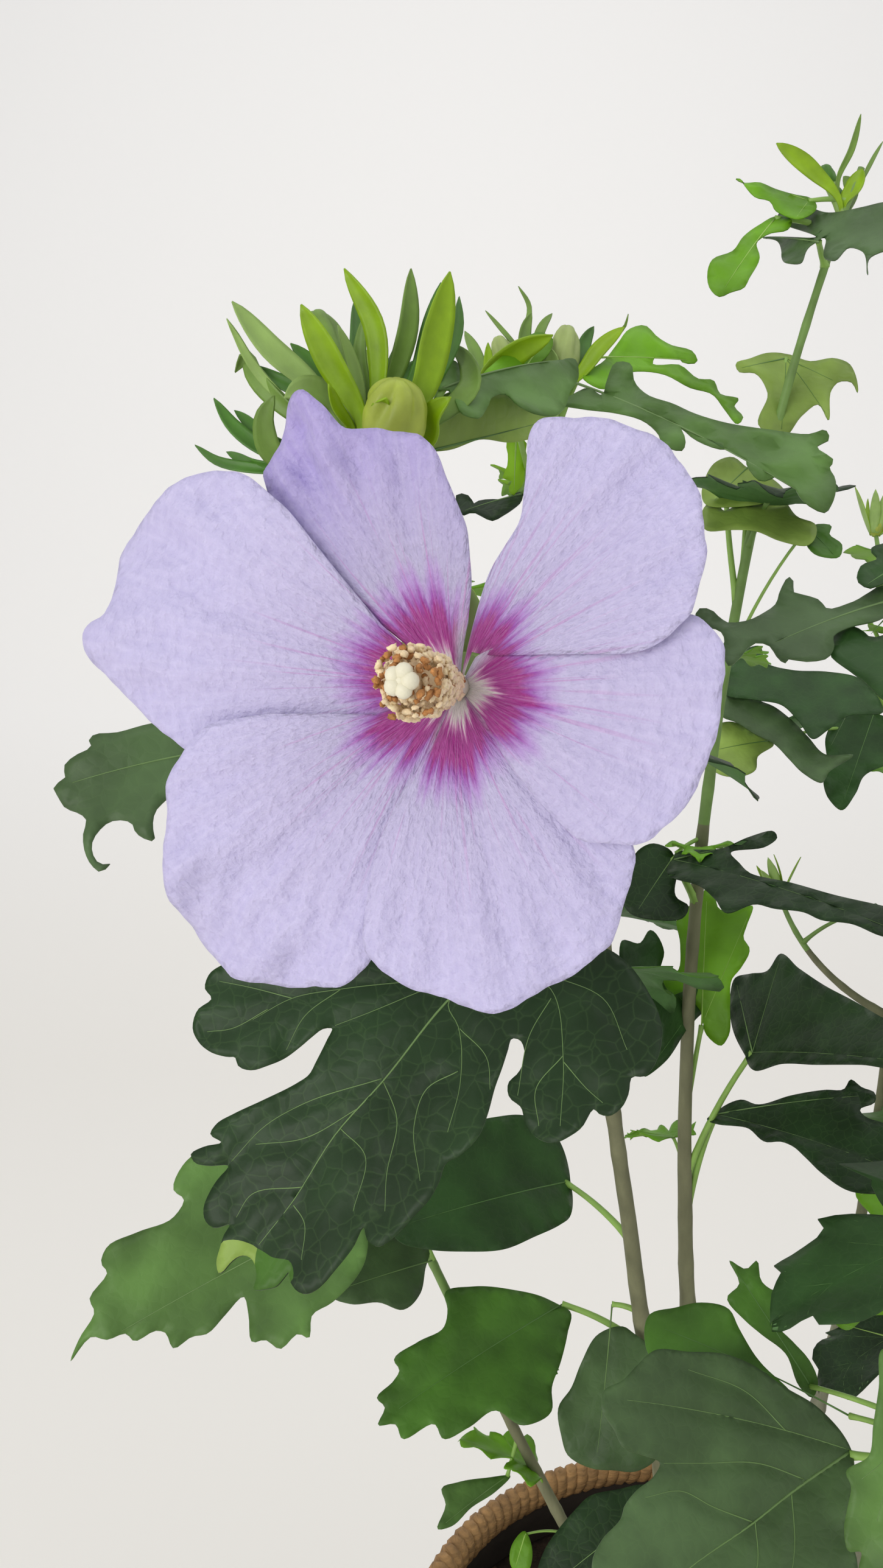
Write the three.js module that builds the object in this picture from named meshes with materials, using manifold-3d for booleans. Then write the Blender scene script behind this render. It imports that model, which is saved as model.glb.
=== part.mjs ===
// Flowering hibiscus shrub in a woven basket planter.
// Millimetres, +Z up. The origin is the centre of the basket's underside, and the shrub's front faces -Y.
// Every limb, leaf and petal grows from the named sizes below by one of a few rules.
import * as THREE from 'three';
import { mergeVertices } from 'three/addons/utils/BufferGeometryUtils.js';
import Module from 'manifold-3d';

const wasm = await Module();
wasm.setup();

// Sizes that hold for the whole plant
const CLEARANCE = 0.3;
const LEAF_THICKNESS = 0.8;
const PETAL_THICKNESS = 0.8;
const GOLDEN_ANGLE = 137.5;
const FINISH = 0.1;
const STEEP = 0.7;

// Basket and soil
const BASKET = {
  height: 220, footRadius: 112, bellyRadius: 146, bellyHeight: 105, rimRadius: 125, wall: 9, floor: 12,
};
const RIM_BEAD = { radius: 7, steps: 4 };
const WEAVE = { stakes: 46, rows: 21, firstRow: 6.2, pitch: 10.3, relief: 4 };
const INSIDE_BANDS = 6;
const SOIL_SIDES = 24;
const COLLAR_SIDES = 12;
const SOIL_BANDS = 3;
const SOIL_LEVEL = 195;
const SOIL_GAP = 6;

// Root collar: it stands on the soil with a flat cut and forks into the shoots
const COLLAR = { flareRadius: 30, shoulderRadius: 24, waistRadius: 19, neckRadius: 17, height: 22 };
const COLLAR_HEIGHTS = { shoulder: 0.25, waist: 0.7 };
const FORK_LENGTH = 62;
const SHOOT_SIDES = 6;
const SHOOT_RINGS = { fork: 2, bough: 3, leafy: 7, twig: 4 };

// Shoots: bending line as start, two guide points and tip, start and tip radius, where the leafy part
// begins, the rule leaves as count, range along the shoot and first compass turn, their blade length,
// and side twigs
const SHOOTS = {
  a: { line: [[-9, -6, 204], [-48, -22, 350], [-54, -90, 560], [-127, -224, 618]], radius: [5.4, 1.9],
    leafy: 0.27, leaves: 4, range: [0.6, 0.9], turn: 60, blade: 62, twigs: 0 },
  d: { line: [[3, 7, 204], [-34, -14, 380], [-40, -70, 600], [12, -100, 742]], radius: [5.2, 1.5],
    leafy: 0.27, leaves: 4, range: [0.52, 0.9], turn: 10, blade: 50, twigs: 0 },
  g: { line: [[-17, -5, 204], [-62, -18, 260], [-110, -24, 380], [-140, -60, 450]], radius: [4.2, 1.7],
    leafy: 0.32, leaves: 3, range: [0.4, 0.92], turn: 150, blade: 50, twigs: 0 },
  e: { line: [[12, -11, 204], [75, -50, 330], [75, -190, 520], [22, -205, 650]], radius: [5.0, 1.6],
    leafy: 0.3, leaves: 8, range: [0.34, 0.96], turn: 300, blade: 68, twigs: 1 },
  f: { line: [[17, 1, 204], [95, 0, 330], [165, -20, 480], [170, -60, 610]], radius: [5.0, 1.6],
    leafy: 0.28, leaves: 9, range: [0.32, 0.96], turn: 350, blade: 74, twigs: 1 },
  h: { line: [[3, -16, 204], [30, -60, 240], [40, -110, 300], [16, -134, 390]], radius: [3.8, 1.8],
    leafy: 0.45, leaves: 2, range: [0.5, 0.9], turn: 250, blade: 56, twigs: 0 },
  i: { line: [[9, 14, 204], [70, 80, 300], [140, 120, 460], [112, 140, 690]], radius: [5.0, 1.6],
    leafy: 0.4, leaves: 9, range: [0.44, 0.97], turn: 40, blade: 68, twigs: 1 },
  j: { line: [[-6, 14, 204], [-34, 60, 330], [-22, 130, 520], [-112, 120, 668]], radius: [5.0, 1.6],
    leafy: 0.4, leaves: 9, range: [0.5, 0.97], turn: 100, blade: 66, twigs: 1 },
  k: { line: [[17, 12, 204], [90, 50, 280], [180, 80, 390], [200, 90, 530]], radius: [4.8, 1.6],
    leafy: 0.32, leaves: 9, range: [0.36, 0.96], turn: 75, blade: 74, twigs: 1 },
};

// Side twigs: the budding twig c behind the bloom is set by its own line, the others by the twig rule
const BUD_TWIG = {
  on: 'a',
  line: [[-58, -84, 469], [-70, -120, 560], [-84, -160, 600], [-88, -174, 648]],
  radius: [2.4, 1.4],
};
const TWIG = {
  at: 0.6, riseBelow: 24, riseAbove: 72, firstTurn: 90, sweep: 70, length: 84, radius: [2.2, 1.2],
  leaves: 3, range: [0.4, 0.95], leafTurn: 40, blade: 54, budScale: 0.8,
};
const SEED_STEPS = { twig: 50, twigLeaf: 70, nextTwig: 10, nextBud: 10, budTwig: 5 };

// Leaf stalks
const STALK = { baseRadius: 1.3, tipRadius: 0.9, sunk: 3, sides: 3 };

// Leaves of the rule: stalk and blade angles, their sway by chance, and the leaf's size along a limb
const RULE_LEAF = {
  stalk: 24, stalkRise: 34, stalkSway: 16, turnSway: 30, bladeRise: 6, bladeFall: 24, bladeSway: 52,
  faceRise: 66, droop: 26, lobed: 0.6, smallest: 0.85, sizeSpread: 0.3, tipShrink: 0.42,
};

// Margin of a blade on one side: where the vein leaves the midrib, its angle, and how far it reaches in a
// deep-lobed and in a shallow-lobed leaf, all as parts of the blade's length
const BLADE_ROWS = [
  [0.00, 84, 0.42, 0.42],
  [0.00, 48, 0.68, 0.56],
  [0.12, 36, 0.27, 0.44],
  [0.42, 40, 0.36, 0.38],
  [1.00, 0, 0.00, 0.00],
];
const BLADE_FOLD = 0.15;

// Margin of a narrow pointed blade: place along it and half width, as parts of its length, and its curl
const POINTED_ROWS = [[0.0, 0.05], [0.45, 0.11], [1.0, 0.0]];
const POINTED_CURL = 0.12;

// Leaves placed by hand as they stand in the front view: shoot, place along it, stalk as compass turn, rise
// and length, blade as turn, rise and length, turn and rise of its upper side, depth of the lobes, droop
const PLACED_LEAVES = [
  ['a', 0.82, [266, -33, 84], [201, -49, 68], [244, 20], 1.2, 14],
  ['a', 0.90, [200, -32, 53], [204, -14, 42], [275, 25], 0.8, 26],
  ['a', 0.97, [320, 46, 19], [38, 27, 43], [270, 66], 0.8, 14],
  ['a', 0.42, [135, 25, 30], [220, 20, 70], [260, 38], 0.3, 20],
  ['a', 0.33, [163, 23, 31], [221, -4, 78], [265, 42], 0.5, 20],
  ['a', 0.36, [160, 15, 10], [236, -50, 55], [280, 40], 0.4, 20],
  ['c', 0.80, [260, 56, 36], [333, -13, 70], [268, 76], 1.0, 34],
  ['c', 0.92, [355, 70, 23], [8, 0, 48], [270, 66], 0.9, 34],
  ['c', 0.70, [242, 50, 52], [15, 33, 28], [265, 60], 0.8, 30],
  ['d', 0.98, [170, -10, 15], [218, 15, 34], [260, 50], 0.7, 50],
  ['d', 0.96, [190, -5, 15], [216, -24, 38], [245, 35], 0.7, 30],
  ['d', 0.94, [237, 14, 11], [308, -10, 47], [270, 66], 0.8, 22],
  ['d', 0.84, [38, 64, 29], [233, -70, 40], [70, 30], 0.6, 14],
  ['d', 0.82, [90, 78, 27], [236, -32, 26], [270, 50], 0.4, 20],
  ['d', 0.76, [318, 85, 34], [26, 23, 39], [270, 50], 0.6, 20],
  ['d', 0.74, [217, 80, 39], [322, -22, 47], [270, 56], 0.8, 26],
  ['d', 0.56, [232, 39, 25], [310, 0, 78], [270, 66], 0.5, 22],
  ['d', 0.44, [350, 85, 28], [218, 43, 41], [265, 35], 0.5, 12],
  ['d', 0.42, [333, 80, 34], [297, 84, 50], [250, 5], 0.6, 12],
  ['d', 0.38, [317, 63, 56], [304, 32, 68], [270, 48], 0.4, 24],
  ['d', 0.35, [316, 75, 44], [307, 6, 73], [268, 54], 0.5, 24],
  ['g', 0.95, [266, 7, 67], [207, -17, 75], [268, 30], 1.0, 14],
  ['g', 0.85, [345, -58, 22], [221, 14, 38], [280, 40], 0.4, 12],
  ['g', 0.50, [200, -75, 14], [224, -2, 34], [270, 50], 0.4, 18],
  ['e', 0.88, [197, -5, 68], [188, 0, 38], [272, 62], 1.0, 22],
  ['e', 0.86, [198, 1, 70], [232, -27, 28], [245, 25], 0.8, 20],
  ['e', 0.45, [221, 10, 80], [236, -44, 48], [255, 20], 0.6, 12],
  ['f', 0.42, [208, -6, 66], [210, 42, 37], [270, 40], 0.5, 16],
  ['h', 0.94, [152, 5, 18], [213, 0, 92], [270, 32], 0.4, 20],
  ['h', 0.98, [130, -7, 22], [163, 30, 41], [265, 46], 0.4, 18],
  ['h', 1.00, [120, -12, 39], [152, 75, 34], [265, 20], 0.3, 20],
  ['i', 0.88, [215, 57, 41], [203, -13, 69], [270, 45], 0.4, 16],
  ['i', 0.82, [215, 62, 49], [209, -11, 96], [268, 30], 0.5, 16],
  ['i', 0.78, [213, 70, 53], [220, -43, 70], [265, 35], 0.5, 16],
];

// Bloom: six petals round one throat, each with its direction, half width in degrees and length
const THROAT = [-110, -247, 574.5];
const BLOOM_AXIS = [253, -2];
const PETALS = [
  [161, 36, 59],
  [108, 27, 48],
  [42, 32, 49],
  [-14, 36, 43],
  [-75, 36, 49.5],
  [-136, 35, 57],
];
const FUNNEL = {
  depth: 15, spread: 14, reflex: 5, reflexAt: 60, pinwheel: 0.05, ruffle: 1.1, ruffleWaves: 5,
};
const PETAL_CORNER = { cut: 0.22, power: 3.5 };
const PETAL_GRID = { along: 4, across: 4, start: 0.05 };
const THROAT_CUP = { radius: 4.2, footRadius: 3, height: 4, sides: 12 };

// Staminal column, and the anthers and stigma on it
const COLUMN = {
  axis: [248, 2], length: 23, radius: [1.9, 1.5], sides: 6, anthers: 12, antherFrom: 0.45, antherTo: 0.96,
};
const ANTHER = { radius: 1.25, spread: 3.6, forward: 1, filament: [0.6, 0.5], filamentSides: 3 };
const STIGMA = { radius: 2.6, forward: 1 };

// Calyx, and the stalk that carries the bloom
const CALYX = {
  length: 13, radius: 6, footRadius: 3, sides: 10,
  sepals: 5, sepalLength: 15, sepalLean: 66, sepalAt: 0.6, sepalOut: 3, sepalTurn: 18,
  stalkRadius: 2, stalkAt: 0.9, stalkGap: 1.6, stalkBend: 12, stalkSunk: 3, stalkRings: 5,
};

// Buds: the bud itself, the star of bracts round it, and how the buds of a cluster stand beside each other
const BUD = { length: 15, radius: 4.6, seat: -0.04, sides: 5, rings: 3 };
const BRACTS = {
  count: 6, length: 22, shortest: 0.7, lengthSpread: 0.5, lean: 32, leastLean: 0.6, leanSpread: 0.8,
  cupFoot: 0.9, cupHeight: 6, cupMiddle: 3.6, cupSunk: 1,
};
const CLUSTER = {
  spread: 0.8, leanRise: 20, stalk: 8, stalkRadius: 1.4, stalkSides: 4, sunk: 1.5, shrink: 0.12,
};

// For each shoot the turn and rise of the cluster at its tip, its number of buds and their scale
const BUD_CLUSTERS = {
  a: [[60, 82], 3, 1.25],
  c: [[330, 80], 3, 1.15],
  d: [[60, 78], 1, 0.9],
  g: [[215, 70], 1, 0.8],
  e: [[200, 72], 1, 1.0],
  f: [[300, 76], 1, 1.0],
  i: [[20, 72], 1, 1.0],
  j: [[150, 72], 1, 1.0],
  k: [[30, 72], 1, 1.0],
};

// Helpers for directions and chance
const radians = THREE.MathUtils.degToRad;
const lerp = THREE.MathUtils.lerp;
const point = ([x, y, z]) => new THREE.Vector3(x, y, z);

function heading(turn, rise) {
  const a = radians(turn);
  const e = radians(rise);
  return new THREE.Vector3(Math.cos(a) * Math.cos(e), Math.sin(a) * Math.cos(e), Math.sin(e));
}

// The same number from 0 to 1 for the same seed, so that the plant always grows the same way
function chance(seed) {
  const s = Math.sin(seed * 12.9898) * 43758.5453;
  return s - Math.floor(s);
}

function bendingLine(line) {
  return new THREE.CubicBezierCurve3(...line.map(point));
}

// Closed solids
function solid(geometry) {
  geometry.deleteAttribute('normal');
  geometry.deleteAttribute('uv');
  const welded = mergeVertices(geometry, 1e-4);
  const index = welded.index.array;
  const triangles = [];
  for (let i = 0; i < index.length; i += 3) {
    const [a, b, c] = [index[i], index[i + 1], index[i + 2]];
    if (a !== b && b !== c && c !== a) triangles.push(a, b, c);
  }
  return new wasm.Manifold(new wasm.Mesh({
    numProp: 3,
    vertProperties: new Float32Array(welded.attributes.position.array),
    triVerts: new Uint32Array(triangles),
  }));
}

function shape(geometry, place) {
  const p = geometry.attributes.position;
  const v = new THREE.Vector3();
  for (let i = 0; i < p.count; i += 1) {
    const q = place(v.fromBufferAttribute(p, i), i);
    p.setXYZ(i, q.x, q.y, q.z);
  }
  return solid(geometry);
}

// A tapering limb along a bending line, between two places on it
function limb(curve, from, to, radiusAt, sides, rings) {
  const chord = curve.getPoint(1).sub(curve.getPoint(0)).normalize();
  const side = Math.abs(chord.z) > STEEP ? new THREE.Vector3(0, 1, 0) : new THREE.Vector3(0, 0, 1);
  return shape(new THREE.CylinderGeometry(1, 1, 1, sides, rings), (v) => {
    const t = lerp(from, to, v.y + 0.5);
    const along = curve.getTangent(t);
    const across = new THREE.Vector3().crossVectors(along, side).normalize();
    const back = new THREE.Vector3().crossVectors(across, along);
    return curve.getPoint(t)
      .addScaledVector(across, v.x * radiusAt(t))
      .addScaledVector(back, v.z * radiusAt(t));
  });
}

function straightLimb(from, to, radiusFrom, radiusTo, sides) {
  const curve = new THREE.LineCurve3(from, to);
  return limb(curve, 0, 1, (t) => lerp(radiusFrom, radiusTo, t), sides, 1);
}

// A thin plate: rows along it and columns across it, each placed by its own numbers
function plate(rows, columns, thickness, place) {
  return shape(new THREE.BoxGeometry(1, 1, 1, rows, columns, 1), (v) => {
    const row = Math.round((v.x + 0.5) * rows);
    const column = Math.round((v.y + 0.5) * columns);
    const { at, normal } = place(row, column);
    return at.addScaledVector(normal, v.z * thickness);
  });
}

// Axes of a blade: along it, its upper side, and its left
function bladeAxes(along, face) {
  const up = face.clone().addScaledVector(along, -face.dot(along)).normalize();
  return { along, up, left: new THREE.Vector3().crossVectors(up, along) };
}

function leafBlade(leaf, thickness) {
  const axes = bladeAxes(leaf.along, leaf.face);
  const droop = radians(leaf.droop);
  return plate(BLADE_ROWS.length - 1, 2, thickness, (row, column) => {
    const [start, angle, deep, shallow] = BLADE_ROWS[row];
    const reach = column === 1 ? 0 : lerp(shallow, deep, leaf.lobed);
    const x = start + Math.cos(radians(angle)) * reach;
    const y = Math.sin(radians(angle)) * reach * (column - 1);
    const bend = droop * x;
    const at = leaf.base.clone()
      .addScaledVector(axes.along, (Math.sin(bend) / droop) * leaf.length)
      .addScaledVector(axes.left, y * leaf.length)
      .addScaledVector(axes.up, (BLADE_FOLD * Math.abs(y) - (1 - Math.cos(bend)) / droop) * leaf.length);
    return { at, normal: axes.up };
  });
}

// A leaf with its stalk, sunk into the limb that it grows from
function leafSolid(leaf, extra) {
  const stalkEnd = leaf.base.clone().addScaledVector(leaf.along, STALK.sunk);
  const [from, to] = [STALK.baseRadius + extra, STALK.tipRadius + extra];
  const stalk = straightLimb(leaf.node, stalkEnd, from, to, STALK.sides);
  return leafBlade(leaf, LEAF_THICKNESS + 2 * extra).add(stalk);
}

function placedLeaf([, at, stalk, blade, face, lobed, droop], curve) {
  const node = curve.getPoint(at);
  const [stalkTurn, stalkRise, stalkLength] = stalk;
  const [turn, rise, length] = blade;
  return {
    node,
    base: node.clone().addScaledVector(heading(stalkTurn, stalkRise), stalkLength),
    along: heading(turn, rise),
    face: heading(...face),
    length,
    lobed,
    droop,
  };
}

// Leaf number k of a limb by the rule: a golden-angle spiral with a little chance, shorter towards the tip
function ruleLeaf(curve, spec, k, seed) {
  const share = spec.leaves > 1 ? k / (spec.leaves - 1) : 0;
  const node = curve.getPoint(lerp(spec.range[0], spec.range[1], share));
  const turn = spec.turn + k * GOLDEN_ANGLE + RULE_LEAF.turnSway * (chance(seed + k) - 0.5);
  const out = heading(turn, RULE_LEAF.stalkRise + RULE_LEAF.stalkSway * (chance(seed + k + 0.2) - 0.5));
  const grown = 1 - RULE_LEAF.tipShrink * share * share;
  const size = grown * (RULE_LEAF.smallest + RULE_LEAF.sizeSpread * chance(seed + k + 0.4));
  const bladeTurn = turn + RULE_LEAF.bladeSway * (chance(seed + k + 0.6) - 0.5);
  return {
    node,
    base: node.clone().addScaledVector(out, RULE_LEAF.stalk * size),
    along: heading(bladeTurn, RULE_LEAF.bladeRise - RULE_LEAF.bladeFall * chance(seed + k + 0.8)),
    face: heading(turn, RULE_LEAF.faceRise),
    length: spec.blade * size,
    lobed: RULE_LEAF.lobed,
    droop: RULE_LEAF.droop,
  };
}

// A narrow pointed blade, for the sepals
function pointedBlade(base, along, face, length) {
  const axes = bladeAxes(along, face);
  return plate(POINTED_ROWS.length - 1, 1, LEAF_THICKNESS, (row, column) => {
    const [x, halfWidth] = POINTED_ROWS[row];
    const at = base.clone()
      .addScaledVector(axes.along, x * length)
      .addScaledVector(axes.left, halfWidth * length * (2 * column - 1))
      .addScaledVector(axes.up, POINTED_CURL * length * x * x);
    return { at, normal: axes.up };
  });
}

// A bud in the star of its bracts: points and valleys take turns round a small cup
function budSolid(base, axis, scale, seed) {
  const upright = Math.abs(axis.z) > STEEP;
  const axes = bladeAxes(axis, upright ? new THREE.Vector3(0, -1, 0) : new THREE.Vector3(0, 0, 1));
  const place = (up, left, along) => base.clone()
    .addScaledVector(axes.up, up * scale)
    .addScaledVector(axes.left, left * scale)
    .addScaledVector(axis, along * scale);
  const bud = shape(new THREE.SphereGeometry(1, BUD.sides, BUD.rings), (v) => (
    place(v.x * BUD.radius, v.z * BUD.radius, ((v.y + 1) / 2 + BUD.seat) * BUD.length)));
  const spokes = 2 * BRACTS.count;
  const star = shape(new THREE.CylinderGeometry(1, BRACTS.cupFoot, 1, spokes, 1), (v) => {
    const onRim = Math.hypot(v.x, v.z) > 0.5 && v.y > 0;
    if (!onRim) return place(v.x, v.z, v.y > 0 ? BRACTS.cupMiddle : -BRACTS.cupSunk);
    const around = Math.atan2(v.z, v.x);
    const spoke = Math.round((around / Math.PI) * BRACTS.count + spokes);
    const isPoint = spoke % 2 === 0;
    const share = BRACTS.shortest + BRACTS.lengthSpread * chance(seed + (spoke % spokes));
    const tilt = isPoint ? BRACTS.leastLean + BRACTS.leanSpread * chance(seed + spoke + 0.5) : 1;
    const length = isPoint ? BRACTS.length * share : BRACTS.cupHeight;
    const lean = radians(BRACTS.lean * tilt);
    const out = Math.sin(lean) * length;
    return place(Math.cos(around) * out, Math.sin(around) * out, Math.cos(lean) * length);
  });
  return [bud, star];
}

// Several buds side by side at the end of a twig, each leaning its own way
function budCluster(at, [turn, rise], count, scale, seed) {
  const axis = heading(turn, rise);
  const buds = budSolid(at.clone().addScaledVector(axis, -CLUSTER.sunk), axis, scale, seed);
  for (let k = 1; k < count; k += 1) {
    const lean = heading(turn + k * GOLDEN_ANGLE, CLUSTER.leanRise);
    const own = axis.clone().addScaledVector(lean, CLUSTER.spread).normalize();
    const foot = at.clone().addScaledVector(own, CLUSTER.stalk * scale);
    const stalkEnd = foot.clone().addScaledVector(own, CLUSTER.sunk);
    buds.push(straightLimb(at, stalkEnd, CLUSTER.stalkRadius, CLUSTER.stalkRadius, CLUSTER.stalkSides));
    buds.push(...budSolid(foot, own, scale * (1 - CLUSTER.shrink * k), seed + SEED_STEPS.nextBud * k));
  }
  return buds;
}

// The bloom
const throat = point(THROAT);
const bloomAxis = heading(...BLOOM_AXIS);
const bloomRight = new THREE.Vector3(0, 0, 1).cross(bloomAxis).normalize();
const bloomUp = new THREE.Vector3().crossVectors(bloomAxis, bloomRight).normalize();

function petalPoint([direction, halfWidth, length], across, share) {
  const edge = length * (1 - PETAL_CORNER.cut * Math.abs(across) ** PETAL_CORNER.power);
  const out = share * edge;
  const angle = radians(direction + across * halfWidth);
  const rise = FUNNEL.depth * (1 - Math.exp(-out / FUNNEL.spread))
    - FUNNEL.reflex * (out / FUNNEL.reflexAt) ** 2
    - FUNNEL.pinwheel * across * out
    + FUNNEL.ruffle * share ** 3 * Math.sin(FUNNEL.ruffleWaves * across + direction);
  return throat.clone()
    .addScaledVector(bloomAxis, rise)
    .addScaledVector(bloomRight, Math.cos(angle) * out)
    .addScaledVector(bloomUp, Math.sin(angle) * out);
}

function petalSolid(spec) {
  return plate(PETAL_GRID.along, PETAL_GRID.across, PETAL_THICKNESS, (row, column) => {
    const across = (2 * column) / PETAL_GRID.across - 1;
    const share = lerp(PETAL_GRID.start, 1, row / PETAL_GRID.along);
    return { at: petalPoint(spec, across, share), normal: bloomAxis };
  });
}

// A place on the bloom's axis, measured outwards from the throat
const onAxis = (distance) => throat.clone().addScaledVector(bloomAxis, distance);

function corollaSolid() {
  const { radius, footRadius, height, sides } = THROAT_CUP;
  const cup = straightLimb(onAxis(-height / 2), onAxis(height), footRadius, radius, sides);
  return wasm.Manifold.union([cup, ...PETALS.map(petalSolid)]);
}

function columnSolid() {
  const axis = heading(...COLUMN.axis);
  const axes = bladeAxes(axis, new THREE.Vector3(0, 0, 1));
  const start = onAxis(THROAT_CUP.height + CLEARANCE);
  const along = (distance) => start.clone().addScaledVector(axis, distance);
  const parts = [straightLimb(start, along(COLUMN.length), ...COLUMN.radius, COLUMN.sides)];
  for (let k = 0; k < COLUMN.anthers; k += 1) {
    const around = radians(k * GOLDEN_ANGLE);
    const out = axes.up.clone().multiplyScalar(Math.cos(around)).addScaledVector(axes.left, Math.sin(around));
    const place = COLUMN.length * lerp(COLUMN.antherFrom, COLUMN.antherTo, k / (COLUMN.anthers - 1));
    const head = along(place + ANTHER.forward).addScaledVector(out, ANTHER.spread);
    parts.push(straightLimb(along(place), head, ...ANTHER.filament, ANTHER.filamentSides));
    parts.push(shape(new THREE.OctahedronGeometry(ANTHER.radius, 0), (v) => v.clone().add(head)));
  }
  const stigma = along(COLUMN.length + STIGMA.forward);
  parts.push(shape(new THREE.IcosahedronGeometry(STIGMA.radius, 0), (v) => v.clone().add(stigma)));
  return wasm.Manifold.union(parts);
}

const calyxFoot = onAxis(-CALYX.length);

// The calyx's cup, its sepals behind the petals, and the bloom's stalk back to the shoot
function calyxSolid(stalkFoot) {
  const cupTop = onAxis(-THROAT_CUP.height / 2 - CLEARANCE);
  const bendPoint = onAxis(-CALYX.length - CALYX.stalkBend);
  const stalkEnd = onAxis(-CALYX.length + CALYX.stalkSunk);
  const bend = new THREE.QuadraticBezierCurve3(stalkFoot, bendPoint, stalkEnd);
  const parts = [
    straightLimb(calyxFoot, cupTop, CALYX.footRadius, CALYX.radius, CALYX.sides),
    limb(bend, 0, 1, () => CALYX.stalkRadius, SHOOT_SIDES, CALYX.stalkRings),
  ];
  const seat = calyxFoot.clone().lerp(cupTop, CALYX.sepalAt);
  const lean = radians(CALYX.sepalLean);
  for (let k = 0; k < CALYX.sepals; k += 1) {
    const around = radians((k * 360) / CALYX.sepals + CALYX.sepalTurn);
    const out = bloomRight.clone().multiplyScalar(Math.cos(around))
      .addScaledVector(bloomUp, Math.sin(around));
    const along = bloomAxis.clone().multiplyScalar(Math.cos(lean)).addScaledVector(out, Math.sin(lean));
    const foot = seat.clone().addScaledVector(out, CALYX.sepalOut);
    parts.push(pointedBlade(foot, along, bloomAxis.clone().negate(), CALYX.sepalLength));
  }
  return wasm.Manifold.union(parts);
}

// Basket and soil
function wallRadius(z) {
  const { height, footRadius, bellyRadius, bellyHeight, rimRadius } = BASKET;
  const below = z < bellyHeight;
  const end = below ? footRadius : rimRadius;
  const share = below ? 1 - z / bellyHeight : (z - bellyHeight) / (height - bellyHeight);
  return bellyRadius - (bellyRadius - end) * share * share;
}

// A turned solid from a profile of radius and height. Each of its corners may be sunk towards the axis by a
// depth that depends on its side and on its place in the profile
function turned(profile, sides, depth = () => 0) {
  const points = profile.map(([r, z]) => new THREE.Vector2(r, z));
  return shape(new THREE.LatheGeometry(points, sides, Math.PI / 2), (v, i) => {
    const sunk = depth(Math.floor(i / profile.length), i % profile.length);
    const share = sunk > 0 ? 1 - sunk / Math.hypot(v.x, v.z) : 1;
    return new THREE.Vector3(v.x * share, -v.z * share, v.y);
  });
}

// The strand of each row passes before one stake and behind the next, and the next row the other way round
function basketSolid() {
  const foot = [[0, 0], [BASKET.footRadius, 0]];
  const rows = [];
  for (let row = 0; row < WEAVE.rows; row += 1) {
    const z = WEAVE.firstRow + WEAVE.pitch * row;
    rows.push([wallRadius(z), z]);
  }
  const bead = [[BASKET.rimRadius, BASKET.height]];
  const middle = BASKET.rimRadius - BASKET.wall / 2;
  for (let k = 1; k < RIM_BEAD.steps; k += 1) {
    const angle = (Math.PI * k) / RIM_BEAD.steps;
    const [out, up] = [Math.cos(angle) * RIM_BEAD.radius, Math.sin(angle) * RIM_BEAD.radius];
    bead.push([middle + out, BASKET.height + up]);
  }
  const inside = [];
  for (let k = INSIDE_BANDS; k >= 0; k -= 1) {
    const z = Math.max((BASKET.height * k) / INSIDE_BANDS, BASKET.floor);
    inside.push([wallRadius(z) - BASKET.wall, z]);
  }
  return turned([...foot, ...rows, ...bead, ...inside, [0, BASKET.floor]], WEAVE.stakes, (stake, place) => {
    const row = place - foot.length;
    const behind = row >= 0 && row < WEAVE.rows && (row + stake) % 2 === 1;
    return behind ? WEAVE.relief : 0;
  });
}

function soilSolid() {
  const side = [];
  const floor = BASKET.floor + CLEARANCE;
  for (let k = 0; k <= SOIL_BANDS; k += 1) {
    const z = lerp(floor, SOIL_LEVEL, k / SOIL_BANDS);
    side.push([wallRadius(z) - BASKET.wall - SOIL_GAP, z]);
  }
  return turned([[0, floor], ...side, [0, SOIL_LEVEL]], SOIL_SIDES);
}

// Shoots, from the root collar upwards
const pieces = new Map();

// Facets finer than the finish of the surface are let go
function keep(name, body, material) {
  pieces.set(name, { body: body.asOriginal().simplify(FINISH), material });
}

function overlapsOthers(body, own) {
  return [...pieces].some(([name, piece]) => name !== own && piece.body.intersect(body).volume() > 0);
}

const MATERIALS = {
  basket: new THREE.MeshStandardMaterial({ color: 0x9a7448, roughness: 0.9 }),
  soil: new THREE.MeshStandardMaterial({ color: 0x3b2c20, roughness: 1 }),
  bark: new THREE.MeshStandardMaterial({ color: 0x8b8a68, roughness: 0.85 }),
  foliage: new THREE.MeshStandardMaterial({ color: 0x3c6a34, roughness: 0.7 }),
  petal: new THREE.MeshStandardMaterial({ color: 0xc9bfe8, roughness: 0.6 }),
  column: new THREE.MeshStandardMaterial({ color: 0xf0e2bd, roughness: 0.7 }),
  calyx: new THREE.MeshStandardMaterial({ color: 0x7fa14e, roughness: 0.7 }),
};

const names = Object.keys(SHOOTS);
const curves = Object.fromEntries(names.map((name) => [name, bendingLine(SHOOTS[name].line)]));
const shootRadius = (name) => (t) => lerp(...SHOOTS[name].radius, t);
const forkAt = (name) => FORK_LENGTH / curves[name].getLength();
const gapAt = (name) => CLEARANCE / curves[name].getLength();

function shootStretch(name, from, to, rings) {
  return limb(curves[name], from, to, shootRadius(name), SHOOT_SIDES, rings);
}

keep('basket', basketSolid(), MATERIALS.basket);
keep('soil', soilSolid(), MATERIALS.soil);

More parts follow.
